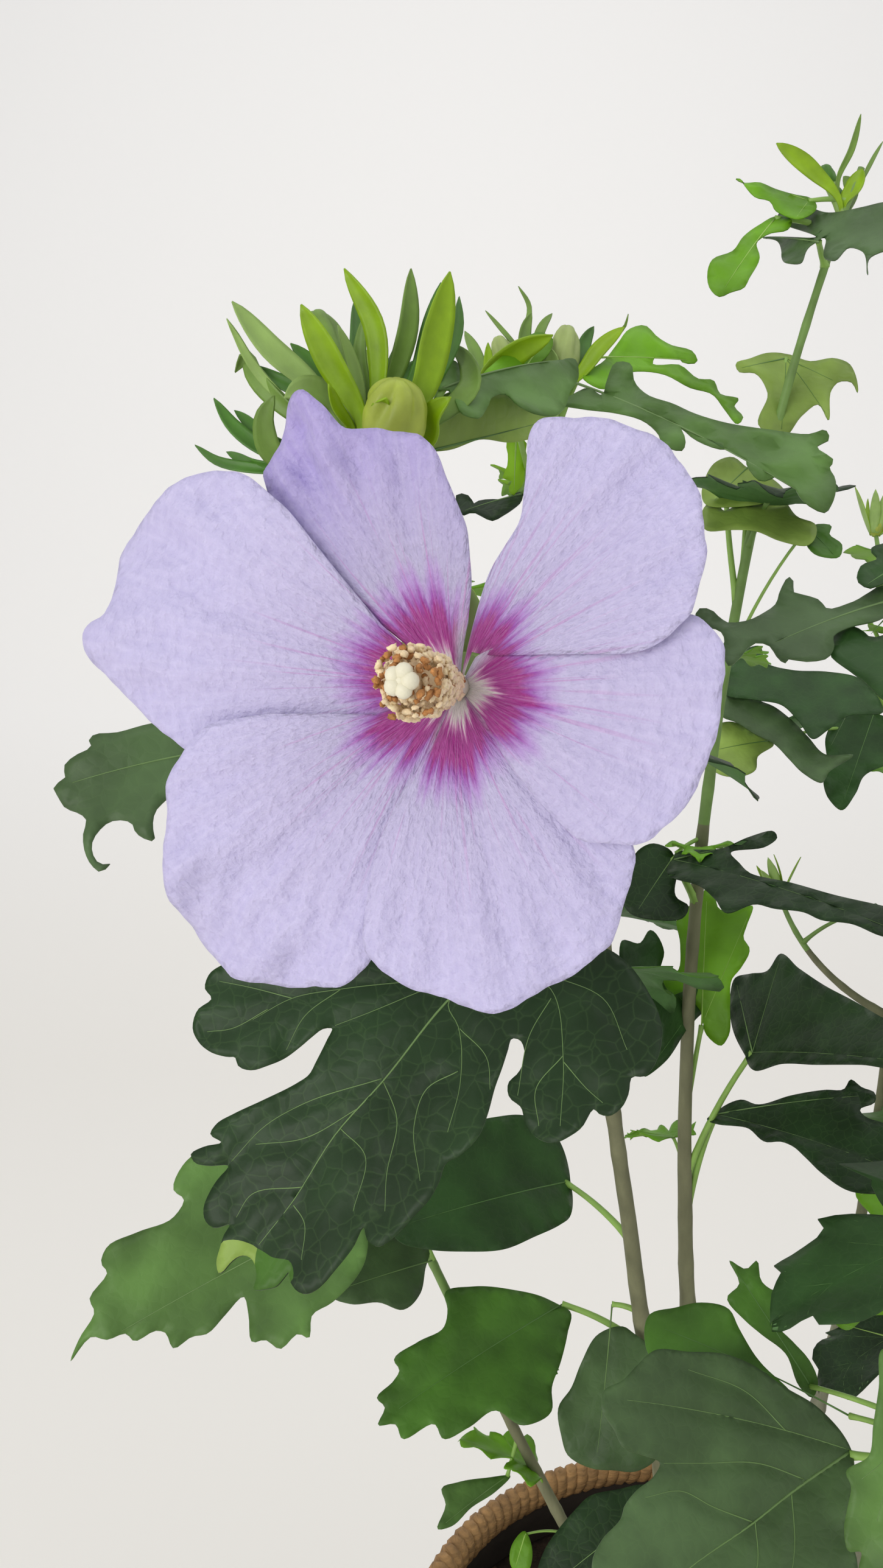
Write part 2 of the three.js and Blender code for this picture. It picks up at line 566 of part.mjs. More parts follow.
const collarFoot = SOIL_LEVEL + CLEARANCE;
const collar = turned([
  [0, collarFoot],
  [COLLAR.flareRadius, collarFoot],
  [COLLAR.shoulderRadius, collarFoot + COLLAR.height * COLLAR_HEIGHTS.shoulder],
  [COLLAR.waistRadius, collarFoot + COLLAR.height * COLLAR_HEIGHTS.waist],
  [COLLAR.neckRadius, collarFoot + COLLAR.height],
  [0, collarFoot + COLLAR.height],
], COLLAR_SIDES);
const forks = names.map((name) => shootStretch(name, 0, forkAt(name), SHOOT_RINGS.fork));
keep('root_collar', wasm.Manifold.union([collar, ...forks]), MATERIALS.bark);

for (const name of names) {
  const from = forkAt(name) + gapAt(name);
  keep(`bough_${name}`, shootStretch(name, from, SHOOTS[name].leafy, SHOOT_RINGS.bough), MATERIALS.bark);
}

keep('corolla', corollaSolid(), MATERIALS.petal);
keep('staminal_column', columnSolid(), MATERIALS.column);

// The bloom's stalk starts beside the shoot's tip, square to the shoot
const shootTip = curves.a.getPoint(CALYX.stalkAt);
const shootAlong = curves.a.getTangent(CALYX.stalkAt);
const towardsCalyx = calyxFoot.clone().sub(shootTip);
towardsCalyx.addScaledVector(shootAlong, -towardsCalyx.dot(shootAlong)).normalize();
const besideShoot = shootRadius('a')(CALYX.stalkAt) + CALYX.stalkGap;
const stalkFoot = shootTip.addScaledVector(towardsCalyx, besideShoot);
keep('calyx', calyxSolid(stalkFoot), MATERIALS.calyx);

const twigRadius = ([from, to]) => (t) => lerp(from, to, t);
const placedOn = (name, curve) => (
  PLACED_LEAVES.filter(([on]) => on === name).map((row) => placedLeaf(row, curve)));

// Side twig number k of a shoot, with its leaves and the bud at its end
function sideTwig(name, k, seed) {
  const root = curves[name].getPoint(TWIG.at);
  const turn = SHOOTS[name].turn + TWIG.firstTurn + k * 180
    + TWIG.sweep * (chance(seed + SEED_STEPS.twig + k) - 0.5);
  const middle = root.clone().addScaledVector(heading(turn, TWIG.riseBelow), TWIG.length / 2);
  const tip = middle.clone().addScaledVector(heading(turn, TWIG.riseAbove), TWIG.length / 2);
  const twig = new THREE.QuadraticBezierCurve3(root, middle, tip);
  const spec = { leaves: TWIG.leaves, range: TWIG.range, turn: turn + TWIG.leafTurn, blade: TWIG.blade };
  const leafSeed = seed + SEED_STEPS.twigLeaf + SEED_STEPS.nextTwig * k;
  return {
    limbs: [
      limb(twig, 0, 1, twigRadius(TWIG.radius), SHOOT_SIDES, SHOOT_RINGS.twig),
      ...budSolid(tip, heading(turn, TWIG.riseAbove), TWIG.budScale, seed + k),
    ],
    leaves: Array.from({ length: TWIG.leaves }, (_, m) => ruleLeaf(twig, spec, m, leafSeed)),
  };
}

// The twig behind the bloom, with its cluster of buds
function budTwig(seed) {
  const twig = bendingLine(BUD_TWIG.line);
  return {
    limbs: [
      limb(twig, 0, 1, twigRadius(BUD_TWIG.radius), SHOOT_SIDES, SHOOT_RINGS.twig),
      ...budCluster(twig.getPoint(1), ...BUD_CLUSTERS.c, seed + SEED_STEPS.budTwig),
    ],
    leaves: placedOn('c', twig),
  };
}

// The limbs of a foliage mass, its leaves still to come: its own stretch of the shoot, twigs and buds
function massLimbs(name) {
  const shoot = SHOOTS[name];
  const curve = curves[name];
  const seed = name.charCodeAt(0);
  const limbs = [shootStretch(name, shoot.leafy + gapAt(name), 1, SHOOT_RINGS.leafy)];
  const leaves = placedOn(name, curve);
  for (let k = 0; k < shoot.leaves; k += 1) leaves.push(ruleLeaf(curve, shoot, k, seed));
  const twigs = Array.from({ length: shoot.twigs }, (_, k) => sideTwig(name, k, seed));
  if (name === BUD_TWIG.on) twigs.push(budTwig(seed));
  for (const twig of twigs) {
    limbs.push(...twig.limbs);
    leaves.push(...twig.leaves);
  }
  if (BUD_CLUSTERS[name]) limbs.push(...budCluster(curve.getPoint(1), ...BUD_CLUSTERS[name], seed));
  return { own: `foliage_${name}`, body: wasm.Manifold.union(limbs), leaves };
}

const masses = names.map(massLimbs);
for (const { own, body } of masses) keep(own, body, MATERIALS.foliage);

// A leaf that would touch another piece isn't grown
for (const { own, body, leaves } of masses) {
  const grown = leaves.filter((leaf) => !overlapsOthers(leafSolid(leaf, CLEARANCE), own));
  keep(own, wasm.Manifold.union([body, ...grown.map((leaf) => leafSolid(leaf, 0))]), MATERIALS.foliage);
}

// The whole plant
const group = new THREE.Group();
for (const [name, { body, material }] of pieces) {
  const { vertProperties, triVerts, numProp } = body.getMesh();
  const geometry = new THREE.BufferGeometry();
  const positions = new Float32Array((vertProperties.length / numProp) * 3);
  for (let i = 0; i < positions.length / 3; i += 1) {
    for (let c = 0; c < 3; c += 1) positions[3 * i + c] = vertProperties[i * numProp + c];
  }
  geometry.setAttribute('position', new THREE.BufferAttribute(positions, 3));
  geometry.setIndex(new THREE.BufferAttribute(new Uint32Array(triVerts), 1));
  geometry.computeVertexNormals();
  const mesh = new THREE.Mesh(geometry, material.clone());
  mesh.name = name;
  group.add(mesh);
}

export default group;
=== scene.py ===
"""Flowering hibiscus shrub in a woven basket planter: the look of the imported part."""
import math
from collections import namedtuple
from dataclasses import dataclass

import bmesh
import bpy
import numpy as np
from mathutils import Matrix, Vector
from mathutils.bvhtree import BVHTree
from mathutils.geometry import delaunay_2d_cdt


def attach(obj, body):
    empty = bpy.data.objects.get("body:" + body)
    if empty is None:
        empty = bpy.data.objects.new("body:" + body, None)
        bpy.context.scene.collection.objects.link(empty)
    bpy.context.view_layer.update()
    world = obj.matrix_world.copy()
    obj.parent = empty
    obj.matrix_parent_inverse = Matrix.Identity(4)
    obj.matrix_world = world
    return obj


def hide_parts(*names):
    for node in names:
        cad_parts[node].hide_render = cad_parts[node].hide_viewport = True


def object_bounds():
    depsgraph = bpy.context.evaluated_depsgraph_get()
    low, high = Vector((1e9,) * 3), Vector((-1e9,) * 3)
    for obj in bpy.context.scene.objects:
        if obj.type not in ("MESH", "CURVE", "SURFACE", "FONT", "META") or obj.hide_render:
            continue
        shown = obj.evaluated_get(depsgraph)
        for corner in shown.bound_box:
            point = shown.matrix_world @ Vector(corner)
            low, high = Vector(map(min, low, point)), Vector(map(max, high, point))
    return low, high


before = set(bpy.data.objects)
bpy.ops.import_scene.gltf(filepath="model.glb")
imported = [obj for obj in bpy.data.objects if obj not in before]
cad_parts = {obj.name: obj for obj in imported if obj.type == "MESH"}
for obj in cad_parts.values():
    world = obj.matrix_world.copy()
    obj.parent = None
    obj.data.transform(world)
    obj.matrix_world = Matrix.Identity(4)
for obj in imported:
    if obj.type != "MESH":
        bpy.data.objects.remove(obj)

bl_info = {
    "name": "Hibiscus shrub in a basket",
    "version": (1, 0, 0),
    "blender": (4, 5, 0),
    "location": "3D View > Sidebar > Hibiscus",
    "description": "Dresses the solids of a potted hibiscus shrub with leaves, bloom, stems, basket and soil",
    "category": "Add Mesh",
}

CAD_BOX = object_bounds()

# Lengths below are in millimetres, as in the shrub's own rule of growth, and become metres in make_piece
MM = 0.001
GOLDEN_ANGLE = 137.5

Shoot = namedtuple("Shoot", "line radius leafy leaves range turn blade twigs")

# Shoots: bending line, start and tip radius, where the leafy part begins, rule leaves with their range,
# first compass turn and blade length, side twigs
SHOOTS = {
    "a": Shoot([(-9, -6, 204), (-48, -22, 350), (-54, -90, 560), (-127, -224, 618)], (5.4, 1.9),
               0.27, 4, (0.6, 0.9), 60, 62, 0),
    "d": Shoot([(3, 7, 204), (-34, -14, 380), (-40, -70, 600), (12, -100, 742)], (5.2, 1.5),
               0.27, 4, (0.52, 0.9), 10, 50, 0),
    "g": Shoot([(-17, -5, 204), (-62, -18, 260), (-110, -24, 380), (-140, -60, 450)], (4.2, 1.7),
               0.32, 3, (0.4, 0.92), 150, 50, 0),
    "e": Shoot([(12, -11, 204), (75, -50, 330), (75, -190, 520), (22, -205, 650)], (5.0, 1.6),
               0.3, 8, (0.34, 0.96), 300, 68, 1),
    "f": Shoot([(17, 1, 204), (95, 0, 330), (165, -20, 480), (170, -60, 610)], (5.0, 1.6),
               0.28, 9, (0.32, 0.96), 350, 74, 1),
    "h": Shoot([(3, -16, 204), (30, -60, 240), (40, -110, 300), (16, -134, 390)], (3.8, 1.8),
               0.45, 2, (0.5, 0.9), 250, 56, 0),
    "i": Shoot([(9, 14, 204), (70, 80, 300), (140, 120, 460), (112, 140, 690)], (5.0, 1.6),
               0.4, 9, (0.44, 0.97), 40, 68, 1),
    "j": Shoot([(-6, 14, 204), (-34, 60, 330), (-22, 130, 520), (-112, 120, 668)], (5.0, 1.6),
               0.4, 9, (0.5, 0.97), 100, 66, 1),
    "k": Shoot([(17, 12, 204), (90, 50, 280), (180, 80, 390), (200, 90, 530)], (4.8, 1.6),
               0.32, 9, (0.36, 0.96), 75, 74, 1),
}
BUD_TWIG = {"on": "a", "line": [(-58, -84, 469), (-70, -120, 560), (-84, -160, 600), (-88, -174, 648)],
            "radius": (2.4, 1.4)}
TWIG = {"at": 0.6, "rise_below": 24, "rise_above": 72, "first_turn": 90, "sweep": 70, "length": 84,
        "radius": (2.2, 1.2), "leaves": 3, "range": (0.4, 0.95), "leaf_turn": 40, "blade": 54,
        "bud_scale": 0.8}
RULE_LEAF = {"stalk": 24, "stalk_rise": 34, "stalk_sway": 16, "turn_sway": 30, "blade_rise": 6,
             "blade_fall": 24, "blade_sway": 52, "face_rise": 66, "droop": 26, "lobed": 0.6,
             "smallest": 0.85, "size_spread": 0.3, "tip_shrink": 0.42}
SEED_STEPS = {"twig": 50, "twig_leaf": 70, "next_twig": 10}
# Leaves of the rule, and young leaves by their seed, that would close a gap which the front view leaves open
OPEN = {"d": (0, 3), "g": (0,), "i": (1, 3, 4)}
OPEN_YOUNG = (31, 68, 84, 201, 202, 203)
OPEN_TWIG_LEAF = 175
COLLAR = {"flare": 30, "neck": 17, "height": 22, "foot": 195.3, "flutes": (2.4, 3.2), "grain": 0.5}

# Greens of the blades, from the oldest leaves to the youngest (the old ones' deeper green partly a painted
# shade), then grown leaves painted lighter as in full light, old leaves greyed by a painted sheen, blades
# seen from below, whose olive is also painted light on some shaded upper blades, and the undersides of the
# old and of the young ones
DARK, DEEP, MIDDLE, FRESH, YOUNG, LIGHT, PAINTED_SHEEN, OLIVE, UNDER, YOUNG_UNDER = range(10)

# Leaves seen in the front view: shoot, place along it, stalk and blade as turn, rise and length, turn and
# rise of the upper side, droop, green, waviness
PLACED_LEAVES = [
    ("a", 0.82, (261, -33, 84), (202, -47, 64), (244, 20), 10, DARK, 0.012),
    ("a", 0.90, (200, -32, 53), (204, -14, 42), (275, 28), 26, PAINTED_SHEEN, 0.03),
    ("a", 0.96, (289, 46, 16), (42, 22, 32), (268, -20), 10, OLIVE, 0.02),
    ("a", 0.97, (310, 57, 24), (30, 10, 32), (265, 24), 14, LIGHT, 0.04),
    ("a", 0.42, (135, 25, 30), (220, 20, 70), (260, 38), 20, DEEP, 0.03),
    ("a", 0.33, (163, 23, 31), (221, -4, 78), (265, 42), 20, MIDDLE, 0.03),
    ("a", 0.36, (160, 15, 10), (236, -50, 55), (280, 40), 20, PAINTED_SHEEN, 0.03),
    ("c", 0.80, (260, 56, 36), (333, -13, 70), (262, 30), 20, LIGHT, 0.04),
    ("c", 0.90, (196, -45, 10), (195, -9, 15.6), (262, 36), 8, DARK, 0.03),
    ("c", 0.95, (182, -14, 7.8), (258, -81, 13.2), (262, 8), 8, YOUNG, 0.02),
    ("c", 0.92, (355, 70, 23), (8, 0, 48), (262, 30), 14, FRESH, 0.04),
    ("c", 0.70, (242, 50, 52), (15, 33, 28), (260, 20), 20, FRESH, 0.04),
    ("d", 0.98, (169, 5, 11), (205, -16, 32), (258, 24), 30, FRESH, 0.04),
    ("d", 0.96, (185, 12, 19), (217, -46, 42), (255, 24), 20, FRESH, 0.04),
    ("d", 0.94, (237, 14, 11), (308, -10, 47), (262, 24), 16, PAINTED_SHEEN, 0.04),
    ("d", 0.84, (53, 70, 29), (252, -61, 33), (262, -24), 14, OLIVE, 0.03),
    # d.76 and d.74 face upwards, yet take the olive green: painted light that lifts them out of the shade of
    # the leaves above
    ("d", 0.76, (318, 85, 34), (26, 23, 39), (268, 30), 20, OLIVE, 0.04),
    ("d", 0.74, (217, 80, 39), (322, -22, 47), (262, 36), 16, OLIVE, 0.03),
    ("d", 0.70, (309, 54, 51), (297, -34, 16), (265, 36), 10, MIDDLE, 0.04),
    ("d", 0.60, (201, -25, 11), (214, -38, 27), (262, 40), 10, DARK, 0.03),
    ("d", 0.56, (232, 39, 25), (310, 0, 78), (262, 50), 12, DARK, 0.03),
    ("d", 0.44, (350, 85, 28), (218, 43, 41), (265, 35), 12, DEEP, 0.03),
    ("d", 0.42, (333, 80, 34), (297, 84, 50), (250, 5), 12, FRESH, 0.03),
    ("d", 0.38, (317, 63, 56), (304, 32, 68), (262, 48), 16, DARK, 0.03),
    ("d", 0.35, (316, 75, 44), (307, 6, 73), (262, 50), 16, DARK, 0.03),
    ("g", 0.95, (266, 2, 66), (212, -19, 75), (268, 40), 14, LIGHT, 0.03),
    ("g", 0.85, (345, -58, 22), (221, 14, 38), (280, 40), 12, PAINTED_SHEEN, 0.03),
    ("g", 0.35, (197, 12, 18), (239, -52, 11), (262, 40), 10, FRESH, 0.02),
    ("h", 0.80, (157, 0, 77), (203, -24, 42), (262, 50), 12, DARK, 0.02),
    ("g", 0.50, (200, -75, 14), (224, -2, 34), (270, 50), 18, LIGHT, 0.03),
    ("e", 0.92, (190, -15, 60), (215, -14, 13), (262, 35), 12, DEEP, 0.03),
    ("e", 0.88, (197, -5, 68), (188, 0, 38), (266, 44), 16, PAINTED_SHEEN, 0.03),
    ("e", 0.86, (198, 1, 70), (232, -27, 28), (245, 28), 16, DEEP, 0.03),
    ("e", 0.45, (223, 14, 83), (229, -50, 45), (250, 25), 12, LIGHT, 0.02),
    ("f", 0.45, (201, 28, 75), (213, -13, 25), (262, 40), 16, FRESH, 0.03),
    ("f", 0.42, (208, -6, 66), (210, 42, 37), (262, 35), 16, FRESH, 0.03),
    ("h", 0.94, (156, 4, 20), (212, -6, 86), (266, 38), 14, PAINTED_SHEEN, 0.015),
    ("h", 0.98, (130, -7, 22), (163, 30, 41), (265, 46), 18, MIDDLE, 0.03),
    ("h", 1.00, (120, -12, 39), (152, 75, 34), (265, 20), 20, MIDDLE, 0.03),
    ("i", 0.88, (215, 57, 41), (203, -13, 69), (262, 38), 16, DEEP, 0.03),
    # i.84 faces upwards, yet takes the olive green: painted light against the shade that falls on it
    ("i", 0.84, (210, -3, 89), (206, -17, 36), (266, 30), 16, OLIVE, 0.03),
    ("i", 0.82, (215, 62, 49), (209, -11, 96), (262, 34), 16, PAINTED_SHEEN, 0.02),
    ("i", 0.78, (213, 70, 53), (220, -43, 70), (262, 35), 16, DEEP, 0.03),
]

# The picture that the front view is set to, by its middle and focal length in pixels, and its camera's place
PICTURE = {"middle": (725, 1288), "focal": 1785}
CAMERA = np.array([-112.0, -421, 560])

# Margins of the leaves that the front view shows well, as pixels of that picture measured, by the
# leaf's shoot and place
OUTLINES = {
    ("a", 0.82): [
        (790, 1590), (700, 1562), (600, 1556), (500, 1560), (420, 1566), (365, 1586), (345, 1600),
        (337, 1624), (348, 1641), (325, 1660), (317, 1690), (328, 1714), (345, 1728), (372, 1736),
        (386, 1737), (392, 1752), (412, 1758), (440, 1750), (466, 1739), (492, 1720), (512, 1703),
        (530, 1690), (546, 1690), (538, 1708), (520, 1744), (508, 1766), (488, 1780), (432, 1808),
        (385, 1830), (356, 1847), (346, 1864), (364, 1877), (336, 1884), (314, 1897), (320, 1910),
        (340, 1915), (376, 1916), (358, 1938), (346, 1957), (335, 1985), (337, 2004), (350, 2017),
        (378, 2012), (368, 2030), (362, 2050), (356, 2074), (360, 2092), (368, 2088), (377, 2077),
        (390, 2066), (404, 2063), (415, 2070), (421, 2086), (421, 2102), (417, 2118), (438, 2118),
        (455, 2113), (468, 2098), (475, 2090), (477, 2105), (488, 2121), (503, 2126), (522, 2117),
        (552, 2084), (580, 2048), (597, 2016), (604, 2038), (621, 2048), (645, 2034), (680, 1997),
        (707, 1967), (722, 1938), (731, 1912), (755, 1898), (786, 1866), (800, 1832), (813, 1785),
        (824, 1755), (834, 1724), (840, 1706), (854, 1709), (862, 1738), (852, 1762), (835, 1780),
        (836, 1802), (856, 1820), (862, 1842), (874, 1862), (890, 1874), (912, 1877), (936, 1866),
        (955, 1852), (975, 1822), (984, 1830), (1001, 1833), (1020, 1820), (1032, 1797), (1038, 1769),
        (1058, 1768), (1073, 1752), (1084, 1725), (1087, 1692), (1080, 1660), (1066, 1632), (1050, 1606),
        (1032, 1584), (1003, 1562), (950, 1548), (880, 1552)],
    ("a", 0.90): [
        (423, 1222), (330, 1180), (240, 1191), (192, 1204), (152, 1209), (146, 1217), (150, 1226),
        (117, 1246), (104, 1262), (108, 1276), (88, 1294), (96, 1310), (105, 1325), (127, 1335),
        (141, 1345), (136, 1375), (140, 1402), (151, 1422), (165, 1432), (181, 1420), (165, 1420),
        (153, 1405), (152, 1382), (165, 1362), (180, 1350), (200, 1347), (216, 1352), (222, 1366),
        (234, 1376), (253, 1381), (251, 1357), (256, 1332), (272, 1315), (290, 1300), (360, 1290)],
    ("a", 0.96): [
        (700, 742), (690, 700), (720, 655), (805, 645), (880, 672), (905, 690), (880, 716), (840, 727),
        (790, 722), (735, 740), (710, 742)],
    ("a", 0.97): [
        (716, 640), (721, 606), (742, 591), (765, 610), (805, 625), (860, 627), (900, 614), (930, 590),
        (945, 592), (950, 616), (936, 645), (926, 672), (905, 683), (875, 678), (850, 665), (832, 648),
        (810, 651), (800, 670), (782, 687), (760, 680), (747, 657), (735, 640)],
    ("c", 0.80): [
        (905, 660), (936, 651), (965, 638), (988, 650), (997, 625), (1012, 596), (1035, 598), (1042, 627),
        (1066, 651), (1105, 664), (1140, 680), (1190, 695), (1265, 707), (1330, 714), (1355, 707),
        (1362, 721), (1341, 735), (1369, 757), (1362, 768), (1372, 788), (1366, 828), (1354, 842),
        (1322, 826), (1306, 802), (1311, 770), (1284, 738), (1275, 740), (1278, 762), (1274, 782),
        (1250, 790), (1227, 766), (1221, 736), (1185, 738), (1140, 721), (1119, 704), (1126, 724),
        (1119, 740), (1090, 732), (1080, 712), (1054, 690), (1010, 678), (960, 672)],
    ("c", 0.90): [
        (857, 808), (841, 814), (829, 821), (808, 821), (787, 823), (778, 828), (773, 818), (762, 812),
        (750, 813), (748, 822), (754, 832), (751, 842), (764, 846), (775, 841), (790, 847), (808, 855),
        (829, 845), (844, 835), (856, 824)],
    ("c", 0.95): [
        (832, 727), (850, 720), (864, 726), (862, 748), (861, 778), (859, 796), (851, 805), (843, 814),
        (834, 806), (841, 790), (826, 787), (833, 766), (834, 748)],
    ("c", 0.92): [
        (958, 622), (990, 595), (1014, 565), (1034, 541), (1060, 536), (1080, 555), (1100, 567),
        (1138, 579), (1145, 594), (1122, 595), (1104, 574), (1086, 576), (1072, 599), (1120, 602),
        (1146, 623), (1170, 625), (1184, 649), (1212, 655), (1206, 670), (1220, 685), (1210, 696),
        (1190, 672), (1168, 646), (1135, 637), (1092, 615), (1040, 610), (985, 638)],
    ("c", 0.70): [
        (792, 622), (820, 590), (855, 560), (890, 547), (907, 556), (904, 576), (880, 600), (845, 618),
        (812, 625)],
    ("d", 0.98): [
        (1340, 345), (1332, 327), (1303, 320), (1273, 311), (1247, 300), (1220, 303), (1197, 323),
        (1194, 350), (1207, 342), (1240, 330), (1263, 331), (1277, 348), (1310, 360)],
    ("d", 0.96): [
        (1300, 362), (1277, 356), (1247, 370), (1220, 390), (1203, 413), (1170, 427), (1162, 445),
        (1167, 478), (1181, 489), (1200, 480), (1221, 473), (1231, 456), (1247, 427), (1245, 395),
        (1265, 383), (1292, 378)],
    ("d", 0.94): [
        (1340, 390), (1253, 391), (1273, 394), (1292, 432), (1313, 433), (1333, 402), (1347, 392),
        (1357, 426), (1371, 428), (1393, 407), (1413, 411), (1425, 451), (1433, 420), (1450, 413),
        (1490, 425), (1540, 390), (1520, 345), (1450, 333), (1420, 340), (1363, 350), (1330, 340),
        (1308, 327), (1283, 347)],
    ("d", 0.84): [
        (1290, 582), (1263, 580), (1230, 590), (1208, 598), (1213, 610), (1240, 613), (1260, 643),
        (1247, 700), (1285, 720), (1318, 682), (1343, 664), (1360, 690), (1366, 640), (1378, 627),
        (1397, 627), (1408, 645), (1403, 612), (1393, 597), (1370, 589), (1330, 594)],
    ("d", 0.76): [
        (1230, 770), (1205, 752), (1176, 759), (1160, 780), (1162, 830), (1215, 832), (1290, 812),
        (1272, 790)],
    ("d", 0.74): [
        (1190, 840), (1208, 832), (1245, 828), (1280, 815), (1290, 825), (1312, 851), (1337, 860),
        (1340, 880), (1325, 896), (1280, 888), (1240, 872), (1200, 870), (1164, 872), (1158, 832),
        (1175, 820)],
    ("d", 0.70): [
        (1322, 890), (1340, 862), (1365, 864), (1362, 878), (1383, 896), (1375, 916), (1342, 912)],
    ("d", 0.60): [
        (1112, 1424), (1101, 1397), (1071, 1386), (1052, 1394), (1030, 1430), (1019, 1476), (1034, 1500),
        (1075, 1511), (1124, 1506), (1131, 1489), (1112, 1476)],
    ("d", 0.56): [
        (1097, 1437), (1112, 1402), (1187, 1394), (1232, 1375), (1270, 1366), (1276, 1376), (1258, 1390),
        (1200, 1400), (1216, 1420), (1232, 1435), (1300, 1451), (1375, 1472), (1450, 1489), (1500, 1502),
        (1510, 1545), (1450, 1538), (1397, 1517), (1349, 1511), (1319, 1498), (1270, 1492), (1240, 1485),
        (1195, 1500), (1174, 1477), (1150, 1456)],
    ("d", 0.44): [
        (1160, 1650), (1150, 1624), (1100, 1632), (1083, 1597), (1090, 1564), (1067, 1528), (1052, 1549),
        (1022, 1545), (1020, 1590), (1058, 1640), (1084, 1695), (1076, 1740), (1058, 1768), (1094, 1742),
        (1124, 1696)],
    ("d", 0.42): [
        (1160, 1700), (1150, 1660), (1124, 1636), (1090, 1631), (1088, 1605), (1111, 1597), (1117, 1552),
        (1112, 1507), (1150, 1474), (1161, 1458), (1174, 1474), (1180, 1492), (1202, 1498), (1236, 1488),
        (1226, 1522), (1221, 1541), (1231, 1558), (1217, 1590), (1202, 1609), (1199, 1650), (1196, 1703),
        (1184, 1718)],
    ("d", 0.38): [
        (1240, 1759), (1221, 1729), (1202, 1684), (1199, 1642), (1206, 1609), (1232, 1600), (1262, 1594),
        (1280, 1568), (1311, 1590), (1356, 1620), (1405, 1646), (1450, 1672), (1510, 1700), (1500, 1752),
        (1412, 1749), (1337, 1749), (1281, 1748)],
    ("d", 0.35): [
        (1161, 1839), (1187, 1819), (1217, 1807), (1244, 1815), (1300, 1800), (1356, 1791), (1386, 1790),
        (1397, 1774), (1416, 1787), (1437, 1796), (1436, 1811), (1412, 1822), (1420, 1834), (1450, 1845),
        (1510, 1862), (1530, 1950), (1450, 1961), (1397, 1957), (1349, 1927), (1322, 1901), (1300, 1882),
        (1281, 1875), (1259, 1876), (1225, 1852), (1202, 1849), (1180, 1847)],
    ("g", 0.95): [
        (560, 1990), (480, 1915), (400, 1880), (330, 1890), (300, 1915), (285, 1955), (302, 1970),
        (285, 2000), (225, 2025), (175, 2050), (166, 2075), (176, 2090), (147, 2135), (155, 2155),
        (130, 2200), (116, 2236), (150, 2196), (175, 2201), (207, 2191), (220, 2203), (256, 2186),
        (271, 2189), (285, 2215), (315, 2196), (340, 2191), (370, 2160), (400, 2130), (408, 2160),
        (415, 2205), (435, 2201), (460, 2216), (490, 2191), (507, 2198), (513, 2160), (545, 2140),
        (600, 2070), (600, 2020)],
    ("g", 0.85): [
        (705, 2060), (640, 2030), (560, 2040), (540, 2100), (546, 2131), (575, 2142), (625, 2140),
        (660, 2152), (690, 2125), (698, 2085)],
    ("a", 0.42): [
        (935, 2000), (936, 1940), (922, 1882), (900, 1850), (862, 1833), (815, 1835), (760, 1850),
        (700, 1900), (655, 1960), (640, 2020), (656, 2040), (700, 2052), (765, 2056), (825, 2053),
        (880, 2031), (920, 2012)],
    ("a", 0.33): [
        (936, 2155), (900, 2135), (840, 2119), (775, 2114), (730, 2125), (735, 2150), (729, 2180),
        (686, 2205), (647, 2235), (656, 2250), (645, 2270), (619, 2297), (632, 2311), (621, 2341),
        (650, 2340), (660, 2363), (715, 2340), (727, 2363), (770, 2345), (815, 2317), (855, 2341),
        (880, 2337), (905, 2320), (906, 2280), (920, 2240), (932, 2190)],
    ("g", 0.35): [
        (862, 2515), (845, 2530), (838, 2546), (840, 2575), (868, 2580), (874, 2560), (872, 2535)],
    ("h", 0.80): [
        (1100, 2450), (1060, 2439), (1015, 2447), (965, 2460), (945, 2480), (915, 2515), (895, 2545),
        (880, 2600), (950, 2680), (1090, 2660)],
    ("g", 0.50): [
        (838, 2425), (800, 2428), (750, 2436), (725, 2446), (732, 2470), (719, 2512), (740, 2508),
        (775, 2476), (812, 2452)],
    ("a", 0.36): [
        (1040, 2190), (1026, 2180), (982, 2192), (954, 2240), (938, 2280), (917, 2312), (922, 2360),
        (931, 2389), (970, 2412), (1010, 2416), (1042, 2418), (1075, 2400), (1090, 2300), (1066, 2210)],
    ("e", 0.92): [
        (1440, 915), (1412, 932), (1409, 955), (1427, 966), (1450, 959), (1500, 950), (1490, 890),
        (1450, 894), (1431, 906)],
    ("e", 0.88): [
        (1470, 990), (1450, 963), (1424, 976), (1394, 992), (1358, 1001), (1345, 987), (1322, 979),
        (1303, 974), (1303, 957), (1296, 949), (1281, 970), (1274, 992), (1255, 1007), (1225, 1021),
        (1195, 1024), (1186, 1019), (1169, 1004), (1150, 1000), (1142, 1009), (1161, 1030), (1180, 1034),
        (1190, 1050), (1187, 1062), (1189, 1079), (1199, 1094), (1214, 1082), (1229, 1064), (1244, 1055),
        (1260, 1058), (1277, 1079), (1289, 1089), (1296, 1082), (1319, 1086), (1356, 1082), (1369, 1067),
        (1369, 1045), (1397, 1030), (1442, 1019)],
    ("e", 0.86): [
        (1470, 1040), (1427, 1047), (1416, 1037), (1397, 1029), (1369, 1047), (1366, 1082), (1379, 1094),
        (1405, 1112), (1431, 1135), (1450, 1157), (1500, 1180), (1500, 1080)],
    ("e", 0.45): [
        (1490, 2230), (1450, 2216), (1443, 2280), (1434, 2340), (1427, 2391), (1389, 2420), (1397, 2440),
        (1391, 2480), (1386, 2512), (1394, 2549), (1414, 2550), (1410, 2580), (1470, 2640), (1560, 2520),
        (1560, 2300)],
    ("f", 0.45): [
        (1480, 1950), (1450, 1944), (1424, 1942), (1405, 1961), (1427, 1991), (1450, 2025), (1500, 2030)],
    ("f", 0.42): [
        (1490, 2160), (1450, 2160), (1422, 2164), (1387, 2185), (1373, 2176), (1410, 2148), (1426, 2120),
